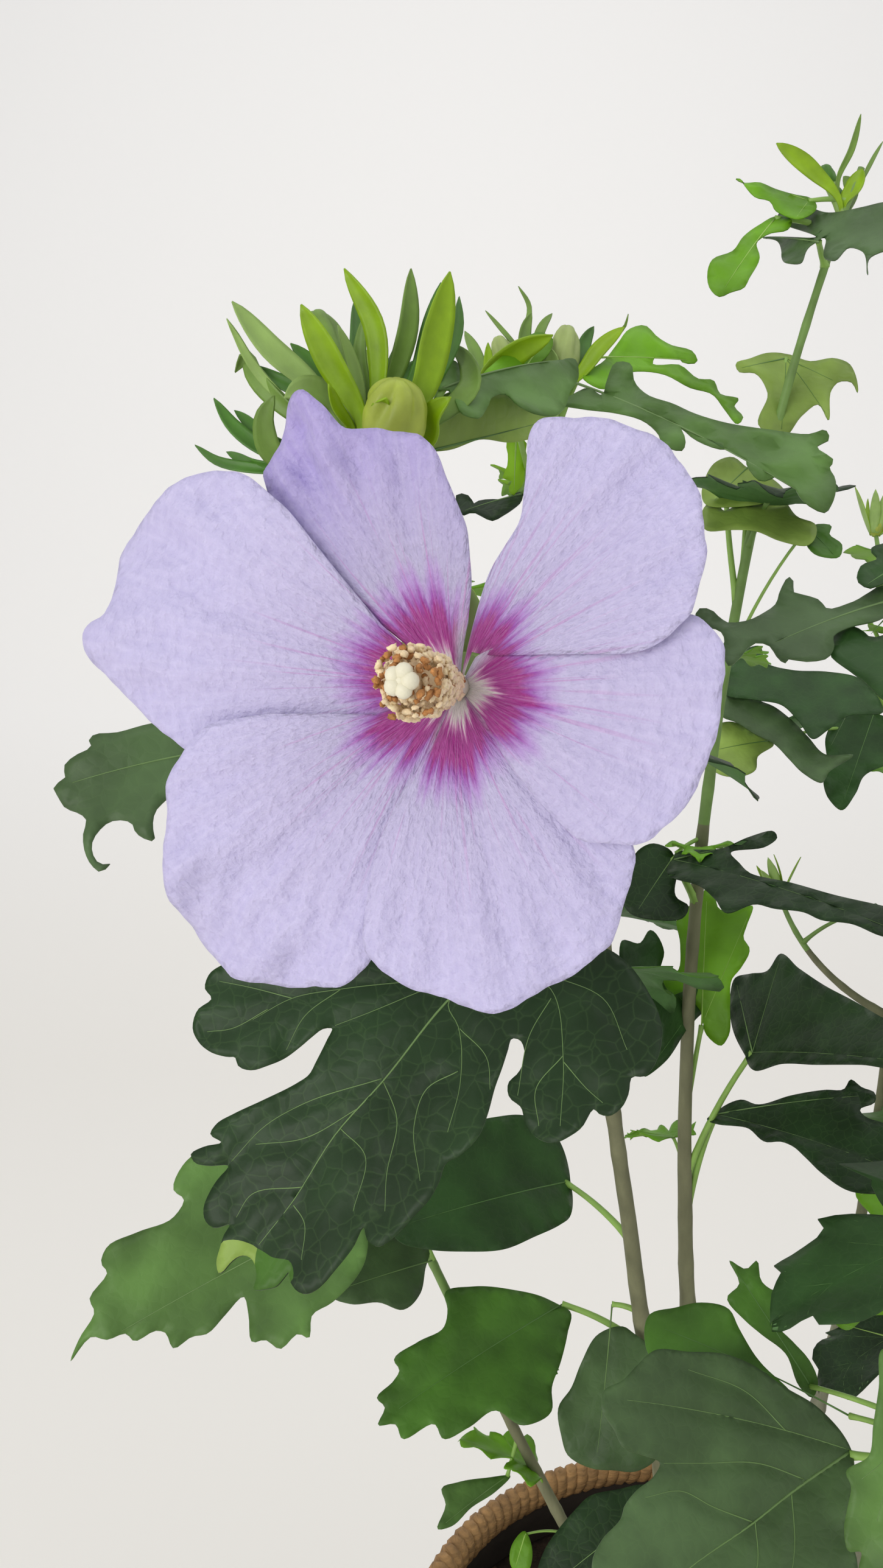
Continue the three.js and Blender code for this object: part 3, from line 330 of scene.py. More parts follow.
        (1450, 2099), (1490, 2090)],
    ("h", 0.94): [
        (1398, 2384), (1386, 2360), (1342, 2312), (1290, 2280), (1230, 2240), (1190, 2225), (1130, 2221),
        (1074, 2219), (1046, 2243), (1022, 2268), (990, 2287), (989, 2316), (1010, 2352), (1022, 2376),
        (1058, 2392), (1084, 2403), (1073, 2426), (1046, 2448), (1026, 2474), (1020, 2494), (990, 2528),
        (974, 2560), (975, 2610), (1010, 2680), (1120, 2700), (1250, 2700), (1400, 2640), (1406, 2560),
        (1390, 2512), (1398, 2460)],
    ("h", 0.98): [
        (1300, 2290), (1250, 2240), (1212, 2180), (1198, 2152), (1150, 2140), (1110, 2148), (1066, 2160),
        (1060, 2210), (1080, 2250), (1180, 2280)],
    ("h", 1.00): [
        (1334, 2296), (1314, 2280), (1290, 2224), (1250, 2192), (1222, 2168), (1194, 2132), (1214, 2110),
        (1198, 2071), (1226, 2085), (1243, 2071), (1250, 2104), (1270, 2120), (1310, 2120), (1314, 2144),
        (1287, 2156), (1278, 2176), (1302, 2204), (1330, 2236), (1343, 2272)],
    ("i", 0.88): [
        (1450, 1170), (1446, 1154), (1405, 1112), (1360, 1104), (1300, 1101), (1259, 1090), (1247, 1062),
        (1217, 1071), (1195, 1110), (1189, 1140), (1240, 1150), (1281, 1157), (1311, 1184), (1337, 1214),
        (1360, 1199), (1394, 1176)],
    ("i", 0.84): [
        (1270, 1222), (1240, 1206), (1202, 1186), (1176, 1191), (1150, 1225), (1162, 1256), (1187, 1274),
        (1214, 1276), (1240, 1266), (1244, 1244)],
    ("i", 0.82): [
        (1400, 1240), (1356, 1240), (1326, 1210), (1296, 1180), (1262, 1157), (1225, 1146), (1186, 1146),
        (1180, 1172), (1210, 1187), (1240, 1206), (1270, 1221), (1296, 1247), (1319, 1270), (1349, 1286),
        (1362, 1268)],
    ("i", 0.78): [
        (1470, 1190), (1450, 1176), (1405, 1169), (1375, 1180), (1356, 1210), (1358, 1255), (1352, 1285),
        (1360, 1311), (1382, 1331), (1405, 1304), (1420, 1274), (1450, 1259), (1500, 1250)],
}

# Patches of them that show another green: the rolled tip of the large leaf below the bloom
TINTS = {
    ("a", 0.82): [([(345, 2090), (352, 2056), (364, 2041), (382, 2037), (404, 2041), (424, 2052), (430, 2070),
                    (418, 2078), (396, 2070), (376, 2086), (360, 2106)], OLIVE),
                  ([(424, 2054), (448, 2066), (478, 2074), (482, 2100), (456, 2128), (406, 2128),
                    (418, 2090)], MIDDLE)],
}

# Main veins of the largest of them, from foot to tip, in the same way
OUTLINED_VEINS = {
    ("a", 0.82): [
        [(795, 1588), (737, 1642), (630, 1775), (550, 1865), (480, 1975), (425, 2045)],
        [(795, 1588), (736, 1652), (752, 1685), (755, 1785), (735, 1860)],
        [(630, 1778), (652, 1840), (635, 1930), (632, 1990)],
        [(627, 1772), (495, 1815), (435, 1850), (380, 1908)], [(496, 1950), (410, 1965), (388, 2000)],
        [(482, 1980), (500, 2010), (495, 2070)], [(800, 1586), (902, 1622), (925, 1740), (920, 1850)],
        [(805, 1584), (925, 1610), (990, 1640), (1030, 1725)], [(924, 1735), (880, 1790), (885, 1850)],
        [(926, 1745), (965, 1790), (990, 1812)], [(905, 1640), (870, 1700), (850, 1800)],
        [(790, 1590), (687, 1630), (610, 1662), (550, 1685)],
        [(700, 1610), (560, 1625), (480, 1640), (415, 1675)], [(480, 1640), (410, 1622), (360, 1612)],
        [(440, 1658), (380, 1690), (340, 1695)], [(560, 1625), (500, 1670), (470, 1725)],
        [(755, 1690), (800, 1740), (805, 1790)], [(752, 1760), (700, 1790), (680, 1850), (690, 1940)],
        [(560, 1855), (600, 1900), (580, 1990)], [(590, 1820), (500, 1870), (420, 1880)]],
    ("h", 0.94): [
        [(1398, 2384), (1300, 2452), (1240, 2500), (1130, 2578), (1060, 2640)],
        [(1395, 2382), (1290, 2350), (1190, 2326), (1090, 2308), (1030, 2300)],
        [(1320, 2430), (1250, 2405), (1150, 2404), (1090, 2404)],
        [(1235, 2500), (1170, 2475), (1120, 2450), (1060, 2460)],
        [(1240, 2498), (1244, 2570), (1200, 2660)], [(1300, 2452), (1305, 2540), (1290, 2640)],
        [(1290, 2350), (1230, 2290), (1130, 2250)]],
    ("e", 0.45): [
        [(1490, 2230), (1470, 2380), (1440, 2500)], [(1480, 2300), (1450, 2400), (1415, 2430)]],
}

# The bloom: throat, and axis as turn and rise
THROAT = (-109, -247, 575.4)
BLOOM_AXIS = (253, -2)

# Outline of each petal as the front view shows it, in millimetres to the right of and above a spot beside the
# throat; sides that lie under a neighbour go on a little way beneath it
OUTLINE_CENTRE = (-110, -247, 574.5)
PETAL_OUTLINES = [
    [(-11.4, 11), (-18.1, 19.1), (-25.9, 29.2), (-33.2, 35.3), (-38, 35.4), (-42.2, 34.6), (-47.6, 30.6),
     (-55.1, 23.5), (-54.4, 17.8), (-54.2, 12.3), (-57.6, 10.6), (-57.6, 5.6), (-53.6, 0.6), (-50.1, -3.6),
     (-42.2, -10.1), (-30, -13), (-18, -9)],
    [(2.6, 11.2), (3.1, 17.8), (2.4, 26.4), (-0.8, 34.2), (-2.2, 38.5), (-5.8, 41.7), (-12.9, 42.4),
     (-16.8, 41.6), (-19.4, 45), (-22.6, 47.8), (-26.5, 45.6), (-30.1, 39.9), (-32.9, 36.7), (-27, 25),
     (-14, 13)],
    [(2.7, 6.7), (6.6, 5.9), (15.5, 6.2), (29, 6.2), (33.5, 7.9), (38.5, 12.9), (40.6, 21.4), (39.9, 30.6),
     (37.1, 36.4), (32.8, 41.4), (22.8, 44.9), (12.8, 44.2), (11.6, 41.5), (11.4, 36.4), (10.6, 27.8),
     (5.6, 19.9), (2.6, 10)],
    [(4.9, -4.5), (8.8, -11.2), (14.4, -17.9), (20, -23.5), (29.9, -24.4), (36.4, -19.4), (40.6, -11.5),
     (42.8, -3.6), (43.5, 8.5), (38.5, 12.9), (28, 13), (14, 9), (7, 8), (3.2, 6.2)],
    [(-3.6, -8.9), (-8, -15.7), (-11.9, -24.6), (-13.6, -33.6), (-14.3, -40.1), (-11.5, -44), (-5.8, -47.6),
     (1.4, -49.4), (7.1, -51.1), (12.8, -48.3), (19.2, -45.1), (24.9, -40.8), (27.1, -33.6), (29.2, -25.1),
     (20, -14), (9, -6)],
    [(-12.5, -3.3), (-29.3, -3.3), (-38.8, -4.8), (-42.2, -9.5), (-44.7, -13.6), (-45.1, -21.5),
     (-44.2, -32.2), (-41.5, -41.1), (-35.8, -45.8), (-27.2, -47.9), (-17.2, -46.9), (-13.6, -43.3),
     (-9, -30), (-4, -15)],
]
PETAL_CRUMPLE = (1.0, 4.2, 1.0, 1.0, 1.0, 1.1)
# Relief of a petal in millimetres, from its long roll to its finest grain, then its fold and its middle line
PETAL_RELIEF = {"roll": 1.3, "ruffle": 0.9, "crumple": 0.45, "crease": 0.25, "ray": 0.24, "grain": 0.2,
                "fold": 3.2, "groove": 1.0}
PETAL_FOOT, PETAL_STEP, FOLDED_PETAL = 1.8, 0.85, 1
FUNNEL = {"depth": 15, "spread": 14, "reflex": 5, "reflex_at": 60, "pinwheel": 0.06}
# The staminal column, its anthers with where they sit along it, and the radius of the stigma's heads
COLUMN = {"axis": (252, -3), "length": 23, "start": 4.3, "sunk": 3, "foot": 2.3, "radius": (1.9, 1.5)}
ANTHER = {"range": (0.16, 0.97), "spread": (3.2, 5.0), "threads_to": 0.7, "thread": (0.3, 0.25, 0.22),
          "size": (0.8, 0.56, 0.5), "dry": (0.05, 0.6)}
STIGMA = 1.3
CALYX = {"length": 13, "radius": 6, "sepals": 5, "sepal_length": 15, "lean": 66, "turn": 18,
         "cup_top": 2.3, "cup_foot": 2.6, "sepal_width": 6.4, "outer": 8, "outer_size": (11, 1.8),
         "stalk_at": 0.9, "stalk_bend": 12, "stalk": (1.8, 2.3)}

# Buds at the tips of shoots: turn, rise and scale
END_BUDS = {"g": (215, 70, 0.8), "e": (200, 72, 1.0), "f": (300, 76, 1.0), "i": (20, 72, 1.0),
            "j": (150, 72, 1.0), "k": (30, 72, 1.0)}
BUD = {"length": 15, "radius": 4.6, "bract_length": 22, "bract_width": 4.6, "lean": 30, "sunk": 1.5,
       "hub": 2.6, "stalk": (1.5, 1.4, 1.8)}

# The basket by its outside, its strands between the stakes, its braided rim, its lining, the soil in it, and
# the bark chips and perlite grains on the soil
BASKET = {"height": 220, "foot": 112, "belly": 146, "belly_height": 105, "rim": 125, "floor": 12,
          "first_row": 6.2, "pitch": 10.3, "inset": 4.6, "strand": 2.35, "flat": 2.05, "weave": 2.0,
          "stake": 2.2}
ROWS = 21
BRAID = {"turns": 64, "inset": 4.5, "wide": 3.0, "high": 2.8, "strand": 3.9}
LINING = {"outside": 7.4, "inside": 9.2, "under": 1.0}
SOIL = {"level": 194.0, "bottom": 16.0, "from_wall": 9.5, "rings": 46, "sides": 150, "rough": 1.3}
GRAIN = {"size": (1.2, 2.4), "chip": 1.6, "perlite": 0.18, "above": 0.9,
         "shapes": ((1.6, 0.8, 0.45), (1, 0.9, 0.8))}

# The bud clusters that the front view shows. Each bract: where it leaves the others, bends and ends, as
# pixels of that picture, its width, how far its tip stands back from its foot, and its material
BRIGHT, PALE, DEEP_BRACT, GREY_BRACT = 1, 2, 3, 4
BRACT_TWIST = 26
BRACTS = {
    ("a", 1.0): [
        [(515, 638), (440, 570), (381, 495), 4.2, -6, PALE],
        [(405, 582), (386, 547), (372, 524), 1.8, -6, PALE],
        [(485, 640), (450, 622), (416, 600), 2.8, 2, DEEP_BRACT],
        [(420, 617), (403, 586), (386, 612), 3.4, 6, GREY_BRACT],
        [(537, 636), (502, 590), (477, 564), 3.4, -2, DEEP_BRACT],
        [(595, 697), (545, 595), (494, 500), 4.7, -12, BRIGHT],
        [(590, 650), (572, 580), (555, 534), 2.3, -6, PALE],
        [(622, 632), (617, 538), (565, 441), 3.8, -8, BRIGHT],
        [(584, 600), (586, 550), (582, 494), 3.0, 6, DEEP_BRACT],
        [(600, 640), (592, 590), (597, 520), 2.5, -2, GREY_BRACT],
        [(642, 628), (668, 540), (675, 441), 3.6, -4, GREY_BRACT],
        [(640, 620), (650, 585), (655, 560), 2.4, 4, DEEP_BRACT],
        [(690, 645), (716, 545), (739, 446), 5.4, -9, BRIGHT],
        [(690, 600), (706, 530), (724, 464), 2.6, -2, DEEP_BRACT],
        [(725, 600), (750, 540), (754, 487), 2.6, 6, DEEP_BRACT],
        [(443, 733), (436, 690), (450, 650), 4.2, -8, GREY_BRACT],
        [(430, 737), (382, 700), (351, 654), 2.8, 2, DEEP_BRACT],
        [(429, 714), (407, 692), (385, 674), 2.6, 4, DEEP_BRACT],
        [(409, 769), (355, 757), (320, 731), 1.9, 6, DEEP_BRACT],
        [(412, 762), (392, 752), (372, 742), 2.2, 8, DEEP_BRACT],
        [(627, 705), (622, 675), (634, 655), 4.3, -13, BRIGHT],
        [(702, 717), (710, 682), (740, 652), 4.2, -9, BRIGHT],
        [(577, 705), (553, 668), (540, 631), 1.9, -12, BRIGHT],
        [(775, 622), (765, 590), (738, 564), 3.8, 8, GREY_BRACT],
        [(540, 655), (505, 640), (468, 652), 4.4, -12, PALE],
        [(560, 690), (540, 640), (522, 590), 4.0, 14, DEEP_BRACT],
        [(640, 690), (650, 640), (690, 590), 4.0, 14, DEEP_BRACT],
        [(600, 720), (590, 640), (610, 570), 4.2, 18, BRIGHT]],
    ("c", 1.0): [
        [(796, 612), (776, 570), (763, 544), 2.8, 8, GREY_BRACT],
        [(806, 612), (803, 585), (801, 563), 2.6, -4, BRIGHT],
        [(846, 568), (820, 537), (797, 510), 1.0, 6, GREY_BRACT],
        [(862, 560), (869, 502), (851, 470), 1.1, 8, GREY_BRACT],
        [(860, 566), (864, 535), (873, 514), 2.8, 2, GREY_BRACT],
        [(884, 558), (894, 532), (907, 515), 2.2, 4, GREY_BRACT],
        [(800, 622), (852, 575), (908, 551), 5.2, -14, BRIGHT],
        [(880, 614), (906, 600), (906, 574), 3.8, -4, PALE],
        [(954, 590), (960, 562), (975, 536), 3.1, 4, DEEP_BRACT],
        [(954, 614), (985, 574), (1025, 537), 3.4, -5, BRIGHT],
        [(1010, 552), (1026, 536), (1032, 516), 0.9, -5, GREY_BRACT],
        [(844, 624), (856, 616), (868, 606), 2.0, -10, BRIGHT],
        [(900, 620), (880, 580), (850, 560), 3.6, 14, DEEP_BRACT],
        [(920, 620), (945, 590), (960, 570), 3.8, 15, GREY_BRACT]],
    ("d", 0.97): [
        [(1378, 330), (1336, 284), (1275, 235), 4.6, -6, BRIGHT],
        [(1386, 332), (1404, 306), (1416, 277), 4.8, -4, BRIGHT],
        [(1376, 295), (1398, 245), (1414, 187), 1.8, -7, GREY_BRACT],
        [(1424, 280), (1437, 255), (1450, 232), 1.2, 2, GREY_BRACT],
        [(1390, 340), (1372, 320), (1360, 300), 3.6, 8, DEEP_BRACT],
        [(1395, 340), (1400, 310), (1385, 290), 3.8, 10, GREY_BRACT]],
}
# Their buds: middle in the picture, how far back from the bracts' foot, direction, radius, length, material
CLUSTER_BUDS = {
    ("a", 1.0): [((648, 683), -7, (278, 58), 5.7, 12.4, 0), ((541, 572), 3, (165, 66), 3.6, 15, GREY_BRACT)],
    ("c", 1.0): [((928, 578), 0, (60, 84), 3.4, 12, 5), ((830, 585), 2, (160, 64), 2.6, 10, 5)],
    ("d", 0.97): [((1358, 290), 2, (170, 70), 2.4, 7, DEEP_BRACT)],
}

# Blades, in parts of their length: where their bend is worked out, how steeply their halves rise, and their
# teeth; then the turn and reach of a side lobe, the notch beside it and the middle lobe, for shallow and for
# deep lobes
BENT_SPAN = (-0.9, 1.7)
BLADE_TROUGH = 0.15
TEETH = {"count": 7, "depth": 0.085, "steep": 0.22}
HALF = {"turn": 52, "turn_less": 6, "turn_sway": 5, "reach": (0.54, 0.68), "notch_at": (0.42, 0.30),
        "notch_out": (0.30, 0.15), "width": (0.28, 0.235), "widest": 0.70}
# Thickness of blades and bracts, and the relief of outlined blades: waves, quilting and veins
BLADE, OUTLINED_BLADE, BRACT = 0.35, 0.4, 0.4
RELIEF = {"wave": 0.35, "quilt": (0.4, 0.85), "vein": 0.22, "vein_tip": 0.055}
# Young leaves, lengths in millimetres
YOUNG_LEAF = {"rise": 50, "rise_sway": 24, "length": (16, 30), "on_twig": 0.7, "stalk": 0.45,
              "blade_rise": 34, "blade_fall": 40, "face_rise": 60, "droop": 24, "wavy": 0.05, "clear": 4}
# Leaf stalks with their bow, and limbs with their old leaf places
STALK = {"bow": 0.09, "lag": 0.05, "radius": 1.15, "at_length": 60, "taper": (1.05, 0.75)}
LIMB = {"knot_pitch": 17, "swell": 0.10, "slender": 0.7, "wobble": 0.032}
TWIG_RELIEF = 0.015
# Veins in a half blade: from and to, as shares along the margin and out from the midrib, and thickness
VEIN_LINES = [((0.34, 0.02), (0.34, 0.93), 0.34), ((0.18, 0.05), (0.15, 0.85), 0.18)] + [
    ((s, 0.0), (s + 0.008, 0.88), 0.2) for s in (0.62, 0.70, 0.78, 0.85, 0.91)]
# The stage in metres: a floor that bends up into a wall, and lights by name, place, aim, size, share of the
# power and colour. The picture's long side and focal length are in millimetres.
SWEEP = {"length": 9.0, "middle": 1.0, "width": 12, "radius": 0.9, "turn": 1.7, "below": 0.0005}
CROWN_MIDDLE = (-0.05, -0.1, 0.5)
LIGHTS = [
    ("main_light", (-1.0, -1.35, 0.62), CROWN_MIDDLE, 1.1, 1.0, (1, 0.985, 0.96)),
    ("fill_light", (1.3, -1.0, 1.4), CROWN_MIDDLE, 1.6, 0.35, (1, 1, 1)),
    ("wall_light", (0, 0.2, 2.6), (0, 2.6, 1.3), 3.0, 1.35, (1, 1, 1)),
]
LENS = (36, 24.945)

# How far red, green and blue light gets into thin green tissue and into a petal, in metres, and a blade's
# spots and fine net of veins in millimetres
THIN_GREEN, THIN_PETAL = (0.0012, 0.0016, 0.0006), (0.002, 0.0016, 0.002)
NET = {"spot": 16, "mesh": 3.2, "bend": 4, "shift": 1.6, "depth": 0.12, "green": "#7FA860"}
BLACK, WHITE = (0, 0, 0), (1, 1, 1)
# Kinds of leaf blades: each one's material and the setting of its colour
LEAF_KINDS = (
    # Deep green with a faint net of veins, which sets off the bloom
    ("Hibiscus leaf, oldest", "dark_green"),
    # Full shade green that lets the crown look dense
    ("Hibiscus leaf, old", "deep_green"),
    # The plain green of a grown blade, neither shiny nor dull
    ("Hibiscus leaf, grown", "middle_green"),
    # Yellowish green that light seems to pass through
    ("Hibiscus leaf, fresh", "fresh_green"),
    # The palest green, which marks the growing tips
    ("Hibiscus leaf, young", "young_green"),
    # A greyer, lighter green where the sky falls on the blade
    ("Hibiscus leaf, in full light", "light_green"),
    # Dark green greyed by a painted sheen, the gleam of light as on a smooth old blade
    ("Hibiscus leaf, with a painted sheen", "painted_sheen_green"),
    # Dull olive of a blade that shows its underside; on some upper blades it is painted light that lifts them
    # out of shade
    ("Hibiscus leaf, from below", "olive_green"),
)
# Surfaces of one colour in lighter and darker spots: name, colour or none where it is a setting, how far the
# spots differ, their size, roughness, size of the grain, its strength and depth, how much shorter the spots
# are along Z, and how much light gets in
SURFACES = {
    # Fine ribs a little paler than the blade, which show how it branches
    "vein": ("Leaf vein, grown", "#587F40", 0.12, 6, 0.5, 0.8, 0.2, 0.1),
    # Dry grey-green ribs that draw a clear pattern on the darkest blades
    "old_vein": ("Leaf vein, old", "#6C8A50", 0.12, 6, 0.5, 0.8, 0.2, 0.1),
    # Yellow-green lines that make a young blade look soft
    "young_vein": ("Leaf vein, young", "#9CC25C", 0.1, 6, 0.5, 0.8, 0.2, 0.1),
    # Smooth and juicy, brighter than the twig that it leaves
    "leaf_stalk": ("Leaf stalk, fresh", "#8DB356", 0.14, 7, 0.5, 0.8, 0.25, 0.1),
    # Green skin in uneven spots, which reads as this year's wood
    "twig": ("Twig with green skin", "#6F8F48", 0.2, 8, 0.55, 0.9, 0.35, 0.15),
    # Dull olive skin that turns to cork, streaked along the shoot
    "young_bark": ("Bark, young", "#77775A", 0.22, 6, 0.75, 0.9, 0.5, 0.3, 0.4),
    # Grey-brown, rough and streaked upwards, which gives the stems their age
    "bark": ("Bark, weathered", "", 0.35, 5, 0.85, 0.8, 0.8, 0.5, 0.35),
    # Deep green that gives a cluster its hollows
    "bract_deep": ("Bract, in the shade", "#46771F", 0.22, 6, 0.5, 0.8, 0.3, 0.15, 1, 0.12),
    # Faded green between the bright bracts
    "bract_grey": ("Bract, older", "#6C8C38", 0.2, 6, 0.5, 0.8, 0.3, 0.15, 1, 0.12),
    # Pale, faintly powdery green of folded petals before they colour
    "bud_pale": ("Flower bud, closed", "#9BAC67", 0.14, 5, 0.5, 0.7, 0.3, 0.15, 1, 0.12),
    # Bright yellow-green that glows against the leaves
    "bract": ("Bract, fresh", "#84A800", 0.2, 6, 0.5, 0.8, 0.3, 0.15, 1, 0.12),
    # Soft greyish green, as of fine down
    "bract_under": ("Bract underside and calyx", "#90AE5E", 0.15, 6, 0.55, 0.8, 0.3, 0.15, 1, 0.12),
    # Plump green that turns yellow where the bud swells
    "bud": ("Flower bud, swollen", "#9FAE40", 0.18, 5, 0.5, 0.7, 0.3, 0.15, 1, 0.12),
    # Waxy cream between the pollen
    "column": ("Staminal column, waxy", "#F2EBDD", 0.06, 3, 0.55, 0.5, 0.2, 0.1),
    # Matt cream grains that scatter the light like dust
    "anther": ("Anther, covered with pollen", "", 0.16, 1.5, 0.8, 0.3, 0.8, 0.25),
    # Brown grains among them that have shed their pollen
    "old_anther": ("Anther, dry", "#B87F48", 0.4, 0.8, 0.8, 0.3, 0.8, 0.25),
    # Pale, slightly moist heads at the very tip
    "stigma": ("Stigma, moist", "#E3DEC6", 0.05, 2, 0.5, 0.4, 0.5, 0.15),
    # Mid-brown strands with dark grooves along them, as of twisted stalks
    "fibre": ("Plant fibre, woven", "", 0.4, 9, 0.75, 4.0, 0.9, 0.8, 7),
    # Tan strands in every third row, the fibre's highlight painted into its colour, which make the rows stand
    # apart
    "fibre_light": ("Plant fibre, bleached", "#B28A58", 0.3, 9, 0.72, 4.0, 0.9, 0.8, 7),
    # Darker strands in every third row, a painted shade that gives the weave its depth
    "fibre_dark": ("Plant fibre, dark", "#6E5234", 0.35, 9, 0.8, 4.0, 0.9, 0.8, 7),
    # Near black and dull, a painted shade that makes the inside recede behind the weave
    "lining": ("Pot lining, pressed", "#2A211A", 0.2, 8, 0.9, 2.0, 0.3, 0.3),
    # Crumbs of dark brown that look moist
    "soil": ("Potting mix, loose", "#3A2A1E", 0.45, 3, 0.95, 0.9, 1.0, 0.9),
    # Warm brown flakes that break up the dark soil
    "chip": ("Bark chip, broken", "#6B4A2E", 0.4, 4, 0.9, 0.9, 0.8, 0.4),
    # Chalky white grains with tiny pores
    "perlite": ("Perlite, expanded", "#D9D4C8", 0.08, 2, 0.9, 0.5, 0.8, 0.4),
}


# Directions, shares and bending lines


def heading(turn, rise):
    """Unit vector for a compass turn from +X and a rise above the level, in degrees."""
    a, e = math.radians(turn), math.radians(rise)
    return np.array([math.cos(a) * math.cos(e), math.sin(a) * math.cos(e), math.sin(e)])


def chance(seed):
    """The same number from 0 to 1 for the same seed, as in the rule of growth."""
    s = math.sin(seed * 12.9898) * 43758.5453
    return s - math.floor(s)


def unit(v):
    return v / np.linalg.norm(v, axis=-1, keepdims=True)


def mix(a, b, t):
    return a + (b - a) * t


def ease(a, b, x):
    t = np.clip((np.asarray(x, float) - a) / (b - a), 0, 1)
    return t * t * (3 - 2 * t)


def bezier(line, t):
    """Places on a bending line given by its start, guide points and tip."""
    t = np.atleast_1d(np.asarray(t, float))[:, None]
    level = [np.asarray(p, float) + 0 * t for p in line]
    while len(level) > 1:
        level = [mix(a, b, t) for a, b in zip(level, level[1:])]
    return level[0]


def gone_along(line):
    """Distance gone at each point of a line."""
    return np.concatenate([[0], np.cumsum(np.linalg.norm(np.diff(line, axis=0), axis=1))])


def around(right, up, turn):
    """Direction at a turn in degrees from one direction towards another."""
    return right * math.cos(math.radians(turn)) + up * math.sin(math.radians(turn))


def circle(angles, radius, height):
    """Places round the upright axis."""
    return np.stack([np.cos(angles) * radius, np.sin(angles) * radius, height + 0 * angles], -1)


def axes_of(along, face):
    """Upper side and left of something that points along a direction."""
    up = unit(face - along * (face @ along))
    return up, np.cross(up, along)


# Pieces and their basic forms


class Pile:
    """Points, faces, material numbers and pattern coordinates gathered for one piece."""

    def __init__(self):
        self.points, self.faces, self.slots, self.uv = [], [], [], []
        self.size = 0

    def add(self, points, faces, slots=0, uv=None):
        points = np.asarray(points, float).reshape(-1, 3)
        self.points.append(points)
        self.uv.append(np.zeros((len(points), 2)) if uv is None else np.asarray(uv).reshape(-1, 2))
        self.faces.extend([[i + self.size for i in f] for f in faces])
        self.slots.extend([slots] * len(faces) if np.isscalar(slots) else list(slots))
        self.size += len(points)


def make_piece(name, pile, materials, nodes=()):
    """Turns a pile into an object in metres that rides on the one body and stands for its solids."""
    mesh = bpy.data.meshes.new(name)
    mesh.from_pydata((np.concatenate(pile.points) * MM).tolist(), [], pile.faces)
    for material in materials:
        mesh.materials.append(material)
    mesh.polygons.foreach_set("material_index", np.asarray(pile.slots, np.int32))
    mesh.polygons.foreach_set("use_smooth", np.ones(len(mesh.polygons), bool))
    uv = np.concatenate(pile.uv)
    index = np.zeros(len(mesh.loops), np.int32)
    mesh.loops.foreach_get("vertex_index", index)
    mesh.uv_layers.new(name="Pattern").data.foreach_set("uv", uv[index].ravel().astype(np.float32))
    shape = bmesh.new()
    shape.from_mesh(mesh)
    bmesh.ops.remove_doubles(shape, verts=shape.verts, dist=1e-7)
    bmesh.ops.recalc_face_normals(shape, faces=shape.faces)
    shape.to_mesh(mesh)
    shape.free()
    mesh.update()
    piece = bpy.data.objects.new(name, mesh)
    bpy.context.scene.collection.objects.link(piece)
    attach(piece, "root")
    if nodes:
        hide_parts(*nodes)


def grid_faces(rows, columns, flip=False, ring=False):
    """Quads of a grid of rows by columns of points; ring closes the columns round."""
    faces = []
    for i in range(0, (rows - 1) * columns, columns):
        for j in range(columns if ring else columns - 1):
            k = (j + 1) % columns
            quad = [i + j, i + k, i + columns + k, i + columns + j]
            faces.append(quad[::-1] if flip else quad)
    return faces


def add_patch(pile, top, normal, thickness, faces, upper, lower, uv):
    """A closed thin plate over a patch of faces, with a material for each and one for the underside."""
    count, half = len(top), normal * thickness / 2
    sides = {(a, b) for f in faces for a, b in zip(f, [*f[1:], f[0]])}
    rim = [(b, a, a + count, b + count) for a, b in sides if (b, a) not in sides]
    under = [[i + count for i in reversed(f)] for f in faces]
    numbers = list(upper) + [lower] * len(under) + [upper[0]] * len(rim)
    pile.add(np.concatenate([top + half, top - half]), [*faces, *under, *rim], numbers,
             np.concatenate([uv, uv]))


def add_sheet(pile, top, normal, thickness, slots, uv=None):
    """The same over a grid of points. slots are the materials of the top and the underside."""
    rows, columns = top.shape[:2]
    faces = grid_faces(rows, columns)
    flat = np.zeros((rows * columns, 2)) if uv is None else uv.reshape(-1, 2)
    add_patch(pile, top.reshape(-1, 3), np.broadcast_to(normal, top.shape).reshape(-1, 3), thickness, faces,
              [slots[0]] * len(faces), slots[1], flat)


def closed_rings(rings, start, end):
    """Points and faces of a row of rings that a fan closes at either end."""
    count, sides = len(rings), len(rings[0])
    faces = grid_faces(count, sides, ring=True, flip=True)
    last = (count - 1) * sides
    for j in range(sides):
        k = (j + 1) % sides
        faces += [[j, k, count * sides], [last + k, last + j, count * sides + 1]]
    return np.concatenate([*rings, [start], [end]]), faces


def add_tube(pile, line, radii, sides, slot=0, relief=None, flat=1.0):
    """A closed tube along a line of points; relief adds to the radius at a ring and an angle."""
    line = np.asarray(line, float)
    along = unit(np.gradient(line, axis=0))
    first = np.array([0.0, 1, 0]) if abs(along[0][2]) > 0.7 else np.array([0.0, 0, 1])
    across = np.cross(along[0], first)
    angles = np.arange(sides) * 2 * np.pi / sides
    rings = []
    for i, (place, way) in enumerate(zip(line, along)):
        across = unit(across - way * (across @ way))
        back = np.cross(across, way)
        r = radii[i] * np.ones(sides)
        if relief is not None:
            r = r + relief(i, angles)
        rings.append(place + np.outer(np.cos(angles) * r, across) + np.outer(np.sin(angles) * r * flat, back))
    count = len(line)
    v = np.repeat(np.linspace(0, 1, count), sides)
    u = np.tile(np.arange(sides) / sides, count)
    uv = np.concatenate([np.stack([u, v], 1), [[0.5, 0], [0.5, 1]]])
    points, faces = closed_rings(rings, line[0], line[-1])
    pile.add(points, faces, slot, uv)


